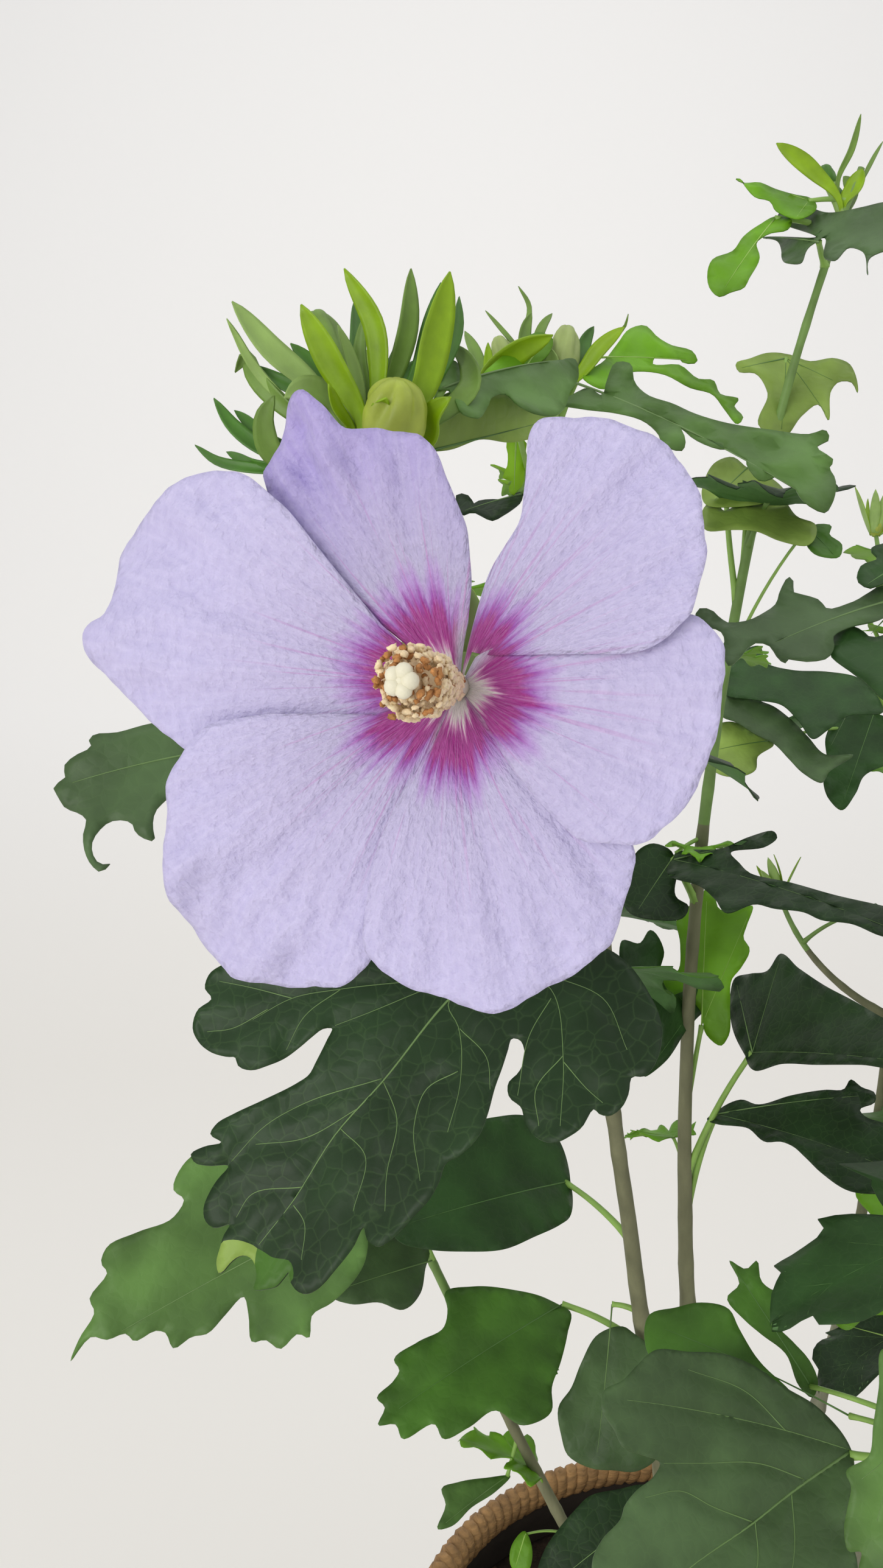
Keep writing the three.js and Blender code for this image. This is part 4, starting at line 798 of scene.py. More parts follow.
def smooth_keys(keys, s):
    """Values at shares s of the way through rows of keys, on a curve that passes through each."""
    keys = np.asarray(keys, float)
    step = np.linalg.norm(np.diff(keys[:, 1:], axis=0), axis=1) + 0.02
    at = np.concatenate([[0], np.cumsum(step)])
    at /= at[-1]
    slope = np.gradient(keys, at, axis=0)
    s = np.clip(s, 0, 1)
    i = np.clip(np.searchsorted(at, s, side="right") - 1, 0, len(at) - 2)
    width = (at[i + 1] - at[i])[..., None]
    t = ((s - at[i])[..., None]) / width
    a, b = keys[i], keys[i + 1]
    return ((2 * t**3 - 3 * t**2 + 1) * a + (t**3 - 2 * t**2 + t) * width * slope[i]
            + (3 * t**2 - 2 * t**3) * b + (t**3 - t**2) * width * slope[i + 1])


# Leaves


@dataclass
class Leaf:
    """One leaf: where its stalk leaves the limb, and how its blade lies."""

    node: np.ndarray
    base: np.ndarray
    along: np.ndarray
    face: np.ndarray
    length: float
    lobed: float
    droop: float
    seed: float
    green: int
    wavy: float
    spots: tuple = ()
    vein_spots: tuple = ()
    tints: tuple = ()

    def __post_init__(self):
        self.up, self.left = axes_of(self.along, self.face)
        self.large = bool(self.vein_spots)
        x = np.linspace(*BENT_SPAN, 160)
        step = x[1] - x[0]
        angle = np.cumsum(np.radians(self.droop) + 0 * x) * step
        angle -= np.interp(0, x, angle)
        out, down = np.cumsum(np.cos(angle)), np.cumsum(np.sin(angle))
        self.bent = (x, (out - np.interp(0, x, out)) * step, (down - np.interp(0, x, down)) * step)

    def keys(self, side):
        """Spots of one half of the margin, each with the spot on the midrib that its vein comes from."""
        sway = HALF["turn_sway"] * (chance(self.seed + side) - 0.5)
        turn = HALF["turn"] - HALF["turn_less"] * self.lobed + sway
        reach = mix(*HALF["reach"], self.lobed) * (0.95 + 0.1 * chance(self.seed + 3 * side))
        nx, ny = mix(*HALF["notch_at"], self.lobed), mix(*HALF["notch_out"], self.lobed)
        width, widest = mix(*HALF["width"], self.lobed), HALF["widest"]

        def polar(more, share):
            a = math.radians(turn + more)
            return math.cos(a) * reach * share, math.sin(a) * reach * share

        rest = 1 - widest
        return [
            (0.0, -0.035, 0.02),
            (0.004, *polar(66, 0.42)),
            (0.010, *polar(34, 0.76)),
            (0.016, *polar(12, 0.96)),
            (0.022, *polar(0, 1.0)),
            (0.030, *polar(-9, 0.90)),
            (0.050, *polar(-13, mix(0.84, 0.70, self.lobed))),
            (0.12, nx, ny),
            (0.24, mix(nx, widest, 0.5), width * 0.84),
            (0.42, widest, width),
            (0.60, widest + rest * 0.45, width * 0.76),
            (0.80, widest + rest * 0.80, width * 0.40),
            (0.985, 1.0, 0.006),
        ]

    def tooth(self, s):
        """Forward-pointing teeth along the margin, from -1 to 1."""
        phase = (s * TEETH["count"] + chance(self.seed + 0.3)) % 1
        back = 1 - TEETH["steep"]
        return np.where(phase < back, phase / back, (1 - phase) / TEETH["steep"]) * 2 - 1

    def place(self, x, y, lift):
        """A place on the bent blade, from its place in the flat one, in parts of the leaf's length."""
        along = np.interp(x, self.bent[0], self.bent[1])
        down = np.interp(x, self.bent[0], self.bent[2])
        rise = BLADE_TROUGH * np.abs(y) - down + lift
        return (self.base + self.length * (along[..., None] * self.along + y[..., None] * self.left
                                           + rise[..., None] * self.up))

    def surface(self, s, c, side, more=0.0):
        """Places for shares s along a half's margin and c from the midrib outwards."""
        s, c = np.broadcast_arrays(np.asarray(s, float), np.asarray(c, float))
        m, ex, ey = np.moveaxis(smooth_keys(self.keys(side), s), -1, 0)
        depth = TEETH["depth"] * ease(0.02, 0.08, s) * ease(1.0, 0.94, s) * self.tooth(s)
        reach = c * (1 + depth * ease(0.5, 1, c) * 1.5)
        x, y = mix(m, ex, reach), side * ey * reach
        phase = 6 * chance(self.seed + side + 0.7)
        wave = self.wavy * c**3 * np.sin(2 * np.pi * 4.6 * s + phase) * ease(0, 0.2, s)
        quilt = 0.006 * np.sin(np.pi * 7 * s) ** 2 * np.sin(np.pi * c)
        return self.place(x, y, wave + quilt + more / self.length)


def on_leaf(leaf, spots):
    """Places in a flat blade, along and beside its midrib, that are seen at spots of the picture."""
    right, down = np.asarray(spots, float).T
    (x, y), focal = PICTURE["middle"], PICTURE["focal"]
    way = np.stack([right - x, focal + 0 * right, y - down], -1)
    lift = 0 * right
    for _ in range(6):
        place = CAMERA + way * (((leaf.base - CAMERA) @ leaf.up + lift) / (way @ leaf.up))[:, None]
        flat = (place - leaf.base) / leaf.length
        along = np.interp(flat @ leaf.along, leaf.bent[1], leaf.bent[0])
        beside = flat @ leaf.left
        lift = (leaf.place(along, beside, 0 * along) - leaf.base) @ leaf.up
    return np.stack([along, beside], -1)


def closed_curve(points, step):
    """Evenly spaced points on a closed curve through the given ones."""
    wrapped = np.concatenate([points[-3:], points, points[:4]])
    gaps = np.concatenate([[0], np.cumsum(np.linalg.norm(np.diff(wrapped, axis=0), axis=1) + 0.02)])
    gaps /= gaps[-1]
    length = np.linalg.norm(np.diff(np.concatenate([points, points[:1]]), axis=0), axis=1).sum()
    return smooth_line(wrapped, np.linspace(gaps[3], gaps[-4], max(int(length / step), 24) + 1)[:-1])


def inside(points, edge):
    """Which points lie inside a closed line."""
    x, y = points[:, :1], points[:, 1:]
    (ax, ay), (bx, by) = edge.T, np.roll(edge, -1, axis=0).T
    crossed = (ay > y) != (by > y)
    at = ax + (y - ay) * (bx - ax) / np.where(by == ay, 1, by - ay)
    return (crossed & (x < at)).sum(1) % 2 == 1


def nearest(points, others):
    """Distance from each point to the nearest of the others, and which that is."""
    gaps = np.linalg.norm(points[:, None] - others[None], axis=2)
    return gaps.min(1), gaps.argmin(1)


def vein_paths(leaf, edge):
    """Veins of an outlined leaf, in its flat blade: the measured ones, or one from the foot to each lobe."""
    if leaf.vein_spots:
        paths = [on_leaf(leaf, spots) for spots in leaf.vein_spots]
        return [smooth_line(path, np.linspace(0, 1, 26)) for path in paths]
    foot = np.array([0.02, 0.0])
    reach = np.linalg.norm(edge - foot, axis=1)
    wide = max(3, len(edge) // 12)
    tips = [k for k in range(len(edge)) if reach[k] > 0.25
            and reach[k] == np.take(reach, range(k - wide, k + wide + 1), mode="wrap").max()]
    paths = [np.linspace(foot, mix(foot, edge[k], 0.9), 12) for k in tips]
    ends = [int(np.argmin([*inside(path[1:], edge), False])) + 1 for path in paths]
    return [path[:end] for path, end in zip(paths, ends) if end > 3] or [paths[0]]


def smooth_line(points, share):
    """Places at shares of the way along a smooth line through points."""
    return smooth_keys(np.column_stack([0 * points[:, 0], points]), share)[:, 1:]


def resampled(closed, step):
    """Evenly spaced places on a closed line."""
    line = np.concatenate([closed, closed[:1]])
    at = gone_along(line)
    shares = np.linspace(0, at[-1], int(at[-1] / step) + 1)[:-1]
    return np.stack([np.interp(shares, at, line[:, 0]), np.interp(shares, at, line[:, 1])], -1)


def patch_of(edge, paths, step, seams=()):
    """Spots and triangles that fill a closed edge and follow the paths and seams inside it."""
    low, high = edge.min(0), edge.max(0)
    x, y = np.meshgrid(np.arange(low[0], high[0], step * 1.5), np.arange(low[1], high[1], step * 1.3))
    x[::2] += step * 0.75
    inner = np.stack([x.ravel(), y.ravel()], -1)
    inner = inner[inside(inner, edge)]
    inner = inner[nearest(inner, edge)[0] > step * 0.8]
    for line in (*paths, *seams):
        inner = inner[nearest(inner, line)[0] > step * 0.6]
    for seam in seams:
        seam = seam[inside(seam, edge)]
        for line in (edge, *paths, inner):
            seam = seam[nearest(seam, line)[0] > step * 0.4]
        inner = np.concatenate([inner, seam])
    links = [(i, (i + 1) % len(edge)) for i in range(len(edge))]
    start = len(edge)
    for path in paths:
        links += [(start + i, start + i + 1) for i in range(len(path) - 1)]
        start += len(path)
    everything = np.concatenate([edge, *paths, inner])
    spots, _, faces, _, _, _ = delaunay_2d_cdt([Vector(p) for p in everything], links, [], 1, 1e-6)
    return np.array([tuple(p) for p in spots]), faces


def outlined_blade(pile, lines, leaf, slots, vein_slot):
    """A blade cut to its measured outline, quilted between its veins and wavy at its margin."""
    fine = leaf.large
    step = (0.9 if fine else 1.6) / leaf.length
    edge = closed_curve(on_leaf(leaf, leaf.spots), step)
    paths = vein_paths(leaf, edge)
    ribs = np.concatenate(paths)
    seams = [closed_curve(on_leaf(leaf, patch), step) for patch, _ in leaf.tints]
    flat, faces = patch_of(edge, paths, step, seams)

    def raised(places, more=0.0):
        gap, which = nearest(places, edge)
        wave = RELIEF["wave"] * leaf.wavy * leaf.length * (1 - ease(0, 8 / leaf.length, gap)) * np.sin(
            which * step * leaf.length * 0.55 + leaf.seed)
        quilt = RELIEF["quilt"][fine] * ease(0, 3.4 / leaf.length, nearest(places, ribs)[0])
        top = leaf.place(places[:, 0], places[:, 1], 0 * gap)
        sight = unit(top - CAMERA)
        steep = sight @ leaf.up
        steep = np.where(np.abs(steep) < 0.4, np.copysign(0.4, steep), steep)
        return top + sight * ((wave + quilt + more) / steep)[:, None]

    top = raised(flat)
    numbers = [slots[0]] * len(faces)
    middles = np.array([flat[f].mean(0) for f in faces])
    for seam, (_, green) in zip(seams, leaf.tints):
        numbers = [green if hit else number for hit, number in zip(inside(middles, seam), numbers)]
    add_patch(pile, top, leaf.up, OUTLINED_BLADE, faces, numbers, slots[1], flat)
    for k, path in enumerate(paths):
        thick = (0.26 if k == 0 else 0.1) * ((leaf.length / 64) ** 2 if fine else 1.2)
        radii = mix(thick, RELIEF["vein_tip"], np.linspace(0, 1, len(path)))
        add_tube(lines, raised(path, RELIEF["vein"]), radii, 5 if fine else 4, vein_slot)


def blade(pile, leaf, rows, columns, slots):
    """The blade as a closed plate, with its pattern coordinates in parts of the leaf's length."""
    share = np.linspace(0, 1, rows)
    c = np.linspace(0, 1, columns + 1) ** 0.85
    right = leaf.surface(share[:, None], c[None, :], 1)
    left = leaf.surface(share[:, None], c[None, 1:], -1)[:, ::-1]
    top = np.concatenate([left, right], axis=1)
    flat = (top - leaf.base) / leaf.length
    uv = np.stack([flat @ leaf.along, flat @ leaf.left], -1)
    add_sheet(pile, top, leaf.up, BLADE, slots, uv + leaf.seed % 7)


def veins(pile, leaf, slot):
    """Raised veins of a blade, with the midrib first."""
    scale = leaf.length / 110
    share = np.linspace(0, 1, 7)
    x = np.linspace(-0.01, 0.96, 7)
    add_tube(pile, leaf.place(x, x * 0, x * 0 + 0.1 / leaf.length), mix(0.62, 0.14, share) * scale, 3, slot)
    for side in (-1, 1):
        for (s0, c0), (s1, c1), thick in VEIN_LINES:
            bow = 0.012 * np.sin(np.pi * share)
            line = leaf.surface(mix(s0, s1, share) + bow, mix(c0, c1, share), side, 0.08)
            add_tube(pile, line, mix(thick, 0.1, share) * scale, 3, slot)


# Growth of the whole plant


def rule_leaf(line, leaves, span, turn, blade_length, k, seed):
    """Leaf number k of a limb by the rule: a golden-angle spiral with a little chance, shorter upwards."""
    rule = RULE_LEAF
    share = k / (leaves - 1) if leaves > 1 else 0
    node = bezier(line, mix(*span, share))[0]
    turn = turn + k * GOLDEN_ANGLE + rule["turn_sway"] * (chance(seed + k) - 0.5)
    out = heading(turn, rule["stalk_rise"] + rule["stalk_sway"] * (chance(seed + k + 0.2) - 0.5))
    size = (1 - rule["tip_shrink"] * share**2) * (
        rule["smallest"] + rule["size_spread"] * chance(seed + k + 0.4))
    blade_turn = turn + rule["blade_sway"] * (chance(seed + k + 0.6) - 0.5)
    along = heading(blade_turn, rule["blade_rise"] - rule["blade_fall"] * chance(seed + k + 0.8))
    green = (DARK, DEEP, DEEP, MIDDLE)[int(4 * chance(seed + k + 0.9))] if share < 0.85 else FRESH
    return Leaf(node, node + out * rule["stalk"] * size, along, heading(turn, rule["face_rise"]),
                blade_length * size, rule["lobed"], rule["droop"], seed + k + 0.5, green,
                0.02 + 0.03 * chance(seed + k + 0.1))


def placed_leaf(row, line):
    """A leaf of the front view, set by its own row."""
    _, at, stalk, way, face, droop, green, wavy = row
    node = bezier(line, at)[0]
    number = PLACED_LEAVES.index(row)
    return Leaf(node, node + heading(*stalk[:2]) * stalk[2], heading(*way[:2]), heading(*face), way[2], 0,
                droop, 200 + 1.7 * number, green, wavy, OUTLINES[row[:2]], OUTLINED_VEINS.get(row[:2], ()),
                TINTS.get(row[:2], ()))


class Plant:
    """The limbs, leaves and buds of the whole shrub, grown once by the rule of the CAD source."""

    def __init__(self):
        self.limbs, self.leaves, self.buds = [], [], []
        for name, shoot in SHOOTS.items():
            self.grow(name, shoot, ord(name))

    def grow(self, name, shoot, seed):
        self.limbs.append((name, shoot.line, shoot.radius, shoot.leafy))
        grown = [placed_leaf(row, shoot.line) for row in PLACED_LEAVES if row[0] == name]
        grown += [rule_leaf(shoot.line, shoot.leaves, shoot.range, shoot.turn, shoot.blade, k, seed)
                  for k in range(shoot.leaves) if k not in OPEN.get(name, ())]
        for k in range(shoot.twigs):
            grown += self.twig(shoot, k, seed)
        if name == BUD_TWIG["on"]:
            self.limbs.append(("c", BUD_TWIG["line"], BUD_TWIG["radius"], 0))
            grown += [placed_leaf(row, BUD_TWIG["line"]) for row in PLACED_LEAVES if row[0] == "c"]
        if name in END_BUDS:
            turn, rise, scale = END_BUDS[name]
            axis = heading(turn, rise)
            self.buds.append((bezier(shoot.line, 1.0)[0] - BUD["sunk"] * axis, axis, scale, seed))
        mass = surface_of(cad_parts["foliage_" + name])
        for leaf in grown:
            if leaf.spots:
                self.leaves.append(leaf)
                continue
            middle = leaf.place(np.array(0.4), np.array(0.0), 0)
            near = mass.find_nearest(Vector(middle * MM))
            if near[0] is not None and near[3] < 3 * MM:
                self.leaves.append(fitted(leaf))

    def twig(self, shoot, k, seed):
        """A side twig with its leaves and end bud."""
        root = bezier(shoot.line, TWIG["at"])[0]
        turn = shoot.turn + TWIG["first_turn"] + 180 * k + TWIG["sweep"] * (
            chance(seed + SEED_STEPS["twig"] + k) - 0.5)
        middle = root + heading(turn, TWIG["rise_below"]) * TWIG["length"] / 2
        tip = middle + heading(turn, TWIG["rise_above"]) * TWIG["length"] / 2
        line = [root, middle, tip]
        self.limbs.append(("twig", line, TWIG["radius"], 0))
        self.buds.append((tip, heading(turn, TWIG["rise_above"]), TWIG["bud_scale"], seed + k))
        leaf_seed = seed + SEED_STEPS["twig_leaf"] + SEED_STEPS["next_twig"] * k
        return [rule_leaf(line, TWIG["leaves"], TWIG["range"], turn + TWIG["leaf_turn"], TWIG["blade"], m,
                          leaf_seed) for m in range(TWIG["leaves"]) if leaf_seed + m != OPEN_TWIG_LEAF]


def surface_of(node):
    """A search tree over a solid's triangles, in metres."""
    mesh = node.data
    return BVHTree.FromPolygons([v.co for v in mesh.vertices], [tuple(p.vertices) for p in mesh.polygons])


def fitted(leaf):
    """The leaf, shortened step by step until all of its margin is inside the shrub's measured box."""
    low, high = np.array(CAD_BOX[0]) / MM + 0.6, np.array(CAD_BOX[1]) / MM - 0.6
    share = np.linspace(0, 1, 40)
    for _ in range(12):
        margin = np.concatenate([leaf.surface(share, 1.0, side) for side in (-1, 1)])
        if (margin >= low).all() and (margin <= high).all():
            break
        leaf.length *= 0.97
    return leaf


def young_leaves(plant, count):
    """Small young leaves in the axils and at the tips, where they keep clear of bloom, stems and pot."""
    other = [surface_of(node) for name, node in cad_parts.items() if not name.startswith("foliage_")]
    grown, rule = [], YOUNG_LEAF
    for n, (name, line, _, leafy) in enumerate(plant.limbs):
        for k in range(count):
            seed = 31 + 17 * n + k
            at = mix(max(leafy, 0.3) + 0.08, 0.97, (k + 0.6 * chance(seed)) / count)
            turn = 60 * n + k * GOLDEN_ANGLE
            node = bezier(line, at)[0]
            out = heading(turn, rule["rise"] + rule["rise_sway"] * chance(seed + 0.2))
            length = mix(*rule["length"], chance(seed + 0.4)) * (1 if name in SHOOTS else rule["on_twig"])
            along = heading(turn, rule["blade_rise"] - rule["blade_fall"] * chance(seed + 0.6))
            leaf = Leaf(node, node + out * length * rule["stalk"], along,
                        heading(turn + 180, rule["face_rise"]), length, 0.5 + 0.3 * chance(seed),
                        rule["droop"], seed, YOUNG if at > 0.8 else FRESH, rule["wavy"])
            spots = [leaf.place(np.array(x), np.array(y), 0) for x in (0, 0.5, 1.0) for y in (-0.3, 0.3)]
            clear = all(tree.find_nearest(Vector(p * MM))[3] > rule["clear"] * MM
                        for tree in other for p in spots)
            if clear and seed not in OPEN_YOUNG:
                grown.append(fitted(leaf))
    return grown


# Stalks, limbs, bracts and buds


def add_stalk(pile, leaf, slot):
    """The leaf's stalk, a little bowed, from inside the limb to inside the blade's foot."""
    end = leaf.base + leaf.along * leaf.length * 0.02
    way = end - leaf.node
    length = np.linalg.norm(way)
    bow = np.array([0, 0, STALK["bow"] * length])
    middle = (leaf.node + end) / 2 + bow - leaf.along * STALK["lag"] * length
    thick = STALK["radius"] * (leaf.length / STALK["at_length"]) ** 0.5
    line = bezier([leaf.node, middle, end], np.linspace(0, 1, 11))
    share = np.linspace(0, 1, 11)
    swell = 0.5 * np.exp(-((share / 0.09) ** 2)) + 0.25 * np.exp(-(((1 - share) / 0.07) ** 2))
    add_tube(pile, line, thick * (mix(*STALK["taper"], share) + swell), 7, slot)


def add_limb(pile, line, radius, start, end, rings, sides, slots, relief, thin=True):
    """A shoot or twig with a swelling at each old leaf place and a little bark relief."""
    t = np.linspace(start, end, rings)
    middle = bezier(line, t)
    length = gone_along(bezier(line, np.linspace(0, 1, 200)))[-1]
    knots = t * length / LIMB["knot_pitch"]
    swell = LIMB["swell"] * np.exp(-(((knots % 1) - 0.5) / 0.09) ** 2)
    radii = mix(*radius, t) * (0.97 + swell) * mix(1, LIMB["slender"], ease(0.05, 0.35, t) if thin else 0)
    offset = np.stack([np.sin(knots * 2.1 + length), np.cos(knots * 1.7), 0 * t], -1)
    offset *= LIMB["wobble"] * radii[:, None]
    number = np.where(t < slots[2], slots[0], slots[1])

    def rough(i, angles):
        return relief * radii[i] * (np.sin(3 * angles + 9 * t[i] * length / 40)
                                    * np.sin(5 * angles - 7 * t[i] * length / 40))

    before = len(pile.slots)
    add_tube(pile, middle + offset, radii, sides, 0, rough if relief else None)
    bands = np.repeat(number[:-1], sides).tolist() + [int(number[0]), int(number[-1])] * sides
    pile.slots[before:] = bands


def add_bract(pile, foot, along, face, length, width, slots, curl, rows=10):
    """A narrow leafy bract: folded along its middle and curled at its tip."""
    up, left = axes_of(along, face)
    share = np.linspace(0, 1, rows)[:, None]
    across = np.linspace(-1, 1, 5)[None, :]
    outline = (0.30 + 0.70 * np.sin(np.pi * share**0.85) ** 0.8) * (1 - share**7) ** 0.5
    half = width / 2 * outline
    turn = np.radians(curl) * share
    out = np.sin(turn) / np.radians(curl) if curl else share
    rise = (1 - np.cos(turn)) / np.radians(curl) if curl else 0 * share
    top = (foot + length * (out[..., None] * along + rise[..., None] * up)
           + (half * across)[..., None] * left + (0.25 * half * np.abs(across))[..., None] * up)
    add_sheet(pile, top, up, BRACT, slots)


def seen_at(spot, depth):
    """The place with a given y that the front view shows at a pixel of the picture."""
    (x, y), focal = PICTURE["middle"], PICTURE["focal"]
    away = depth - CAMERA[1]
    return np.array([CAMERA[0] + (spot[0] - x) * away / focal, depth,
                     CAMERA[2] + (y - spot[1]) * away / focal])


def add_bract_line(pile, places, width, slots, twist):
    """A bract on a curve through four places, slender at its foot, folded along its middle, at a slant."""
    share = np.linspace(0, 1, 22)
    line = smooth_line(places, share)
    along = unit(np.gradient(line, axis=0))
    sight = unit(CAMERA - line)
    side = unit(np.cross(along, sight))
    up = unit(np.cross(side, along))
    up, side = around(up, side, twist), around(side, -up, twist)
    part = gone_along(line)
    part = part / part[-1]
    tip = np.clip(1 - ((part - 0.62) / 0.38).clip(0) ** 2.4, 0, 1) ** 0.8
    half = width / 2 * np.maximum((0.22 + 0.78 * ease(0.0, 0.68, part)) * tip, 0.03)
    half = half / math.cos(math.radians(twist))
    across = np.linspace(-1, 1, 7)[None, :]
    top = (line[:, None] + (half[:, None] * across)[..., None] * side[:, None]
           + (0.34 * half[:, None] * (np.abs(across) ** 1.5) - 0.1)[..., None] * up[:, None])
    add_sheet(pile, top, up[:, None] + 0 * top, BRACT, slots)


def add_bud_alone(pile, hub, middle, axis, radius, length, slot):
    """A swollen bud whose folded petals turn in at its top, on a short stalk from the tip of its twig."""
    foot = middle - axis * length * 0.5
    share = np.concatenate([np.linspace(0, 0.8, 18), np.linspace(0.84, 1, 8)])
    radii = radius * (1 - np.abs(1.9 * share - 0.93) ** 2.6).clip(0.0005) ** 0.5 + 0.04

    def folds(i, angles):
        deep = ease(0.15, 0.8, share[i])
        groove = (0.04 + 0.22 * deep) * np.abs(np.sin(2.5 * angles + 2.4 * share[i])) ** 5
        return -radii[i] * (groove + 0.07 * deep * np.sin(10 * angles + 4.8 * share[i]) ** 2)

    add_tube(pile, foot + np.outer(share * length, axis), radii, 48, slot, folds)
    add_tube(pile, np.array([hub, (hub + foot) / 2, foot + axis]), BUD["stalk"], 8, PALE)


def add_bud(pile, foot, axis, scale, seed, slots, count):
    """A ribbed bud in its star of bracts. slots are the bud's, the bracts' upper and their underside."""
    face = np.array([0, -1.0, 0]) if abs(axis[2]) > 0.7 else np.array([0, 0, 1.0])
    up, left = axes_of(axis, face)
    share = np.linspace(0, 1, 14)
    radius = BUD["radius"] * scale * (np.sin(np.pi * share**0.72) ** 0.85 * (1 - 0.25 * share) + 0.06)
    line = foot + np.outer((share - 0.06) * BUD["length"] * scale, axis)

    def ribs(i, angles):
        return -0.16 * radius[i] * np.abs(np.sin(2.5 * angles + 1.6 * share[i])) ** 4

    add_tube(pile, line, radius, 20, slots[0], ribs)
    for k in range(count):
        out = around(up, left, k * 360 / count + 24 * (chance(seed + k) - 0.5))
        along = around(axis, out, BUD["lean"] * (0.6 + 0.9 * chance(seed + k + 0.5)))
        length = BUD["bract_length"] * scale * (0.7 + 0.5 * chance(seed + 2 * k))
        width = BUD["bract_width"] * scale * (0.75 + 0.6 * chance(seed + 3 * k))
        add_bract(pile, foot + out * BUD["hub"] * scale, along, axis - out * 0.4, length, width, slots[1:],
                  40 * (chance(seed + k + 0.25) - 0.25))


# Turned shapes and grains


def lathe(pile, profile, sides, slot=0, relief=None):
    """A closed turned shape from a profile of radius and height that starts and ends on the axis."""
    angles = np.arange(sides) * 2 * np.pi / sides
    rings = []
    for r, z in profile[1:-1]:
        round_r = r + (relief(z, angles) if relief else 0)
        rings.append(circle(angles, round_r, z))
    points, faces = closed_rings(rings, (0, 0, profile[0][1]), (0, 0, profile[-1][1]))
    pile.add(points, [face[::-1] for face in faces], slot)


def ball(subdivisions):
    """Points and faces of a unit ball, to be stretched and set down many times."""
    bpy.ops.object.select_all(action="DESELECT")
    bpy.ops.mesh.primitive_ico_sphere_add(subdivisions=subdivisions, radius=1)
    shape = bpy.context.object
    points = np.array([v.co[:] for v in shape.data.vertices])
    faces = [list(p.vertices) for p in shape.data.polygons]
    mesh = shape.data
    bpy.data.objects.remove(shape)
    bpy.data.meshes.remove(mesh)
    return points, faces


def wall_radius(z):
    """Outside radius of the basket at a height."""
    low = z < BASKET["belly_height"]
    end = BASKET["foot"] if low else BASKET["rim"]
    height = BASKET["belly_height"] if low else BASKET["height"] - BASKET["belly_height"]
    share = (z - BASKET["belly_height"]) / height
    return BASKET["belly"] - (BASKET["belly"] - end) * share**2


# The bloom
BLOOM = heading(*BLOOM_AXIS)
BLOOM_RIGHT = unit(np.cross([0.0, 0, 1], BLOOM))
BLOOM_UP = np.cross(BLOOM, BLOOM_RIGHT)


def on_axis(distance):
    return np.array(THROAT) + BLOOM * distance


def bowl(out):
    """Height of the open bloom above its throat at a distance from the axis."""
    return FUNNEL["depth"] * (1 - np.exp(-out / FUNNEL["spread"])) - FUNNEL["reflex"] * (
        out / FUNNEL["reflex_at"]) ** 2


def on_bowl(seen):
    """Spot on the bloom's bowl, right of and above the throat in its own plane, that the front view shows
    at a place right of and above the middle."""
    way = np.array(OUTLINE_CENTRE) + np.array([seen[0], 0, seen[1]]) - CAMERA
    rise = 10.0
    for _ in range(4):
        middle = on_axis(rise)
        place = CAMERA + way * ((middle - CAMERA) @ BLOOM) / (way @ BLOOM)
        flat = (place - middle) @ BLOOM_RIGHT, (place - middle) @ BLOOM_UP
        rise = bowl(math.hypot(*flat))
    return flat


def petal_edge(k):
    """The outline of petal k in the bloom's plane, from side to side, rounded between its corners and
    scalloped where it is free."""
    spots = np.array([on_bowl(seen) for seen in PETAL_OUTLINES[k]])
    at = gone_along(spots)
    fine = np.linspace(0, at[-1], 400)
    edge = np.stack([np.interp(fine, at, spots[:, 0]), np.interp(fine, at, spots[:, 1])], -1)
    kernel = np.hanning(23)
    padded = np.pad(edge, ((11, 11), (0, 0)), "reflect", reflect_type="odd")
    edge = np.stack([np.convolve(padded[:, i], kernel / kernel.sum(), "valid") for i in (0, 1)], -1)
    reach = np.linalg.norm(edge, axis=1, keepdims=True)
    scallop = 0.12 * np.sin(fine * 0.7 + k) + 0.09 * np.sin(fine * 1.7 + 2 * k) * np.sin(fine * 0.23)
    return edge * (1 + scallop[:, None] * ease(24, 36, reach) / reach)


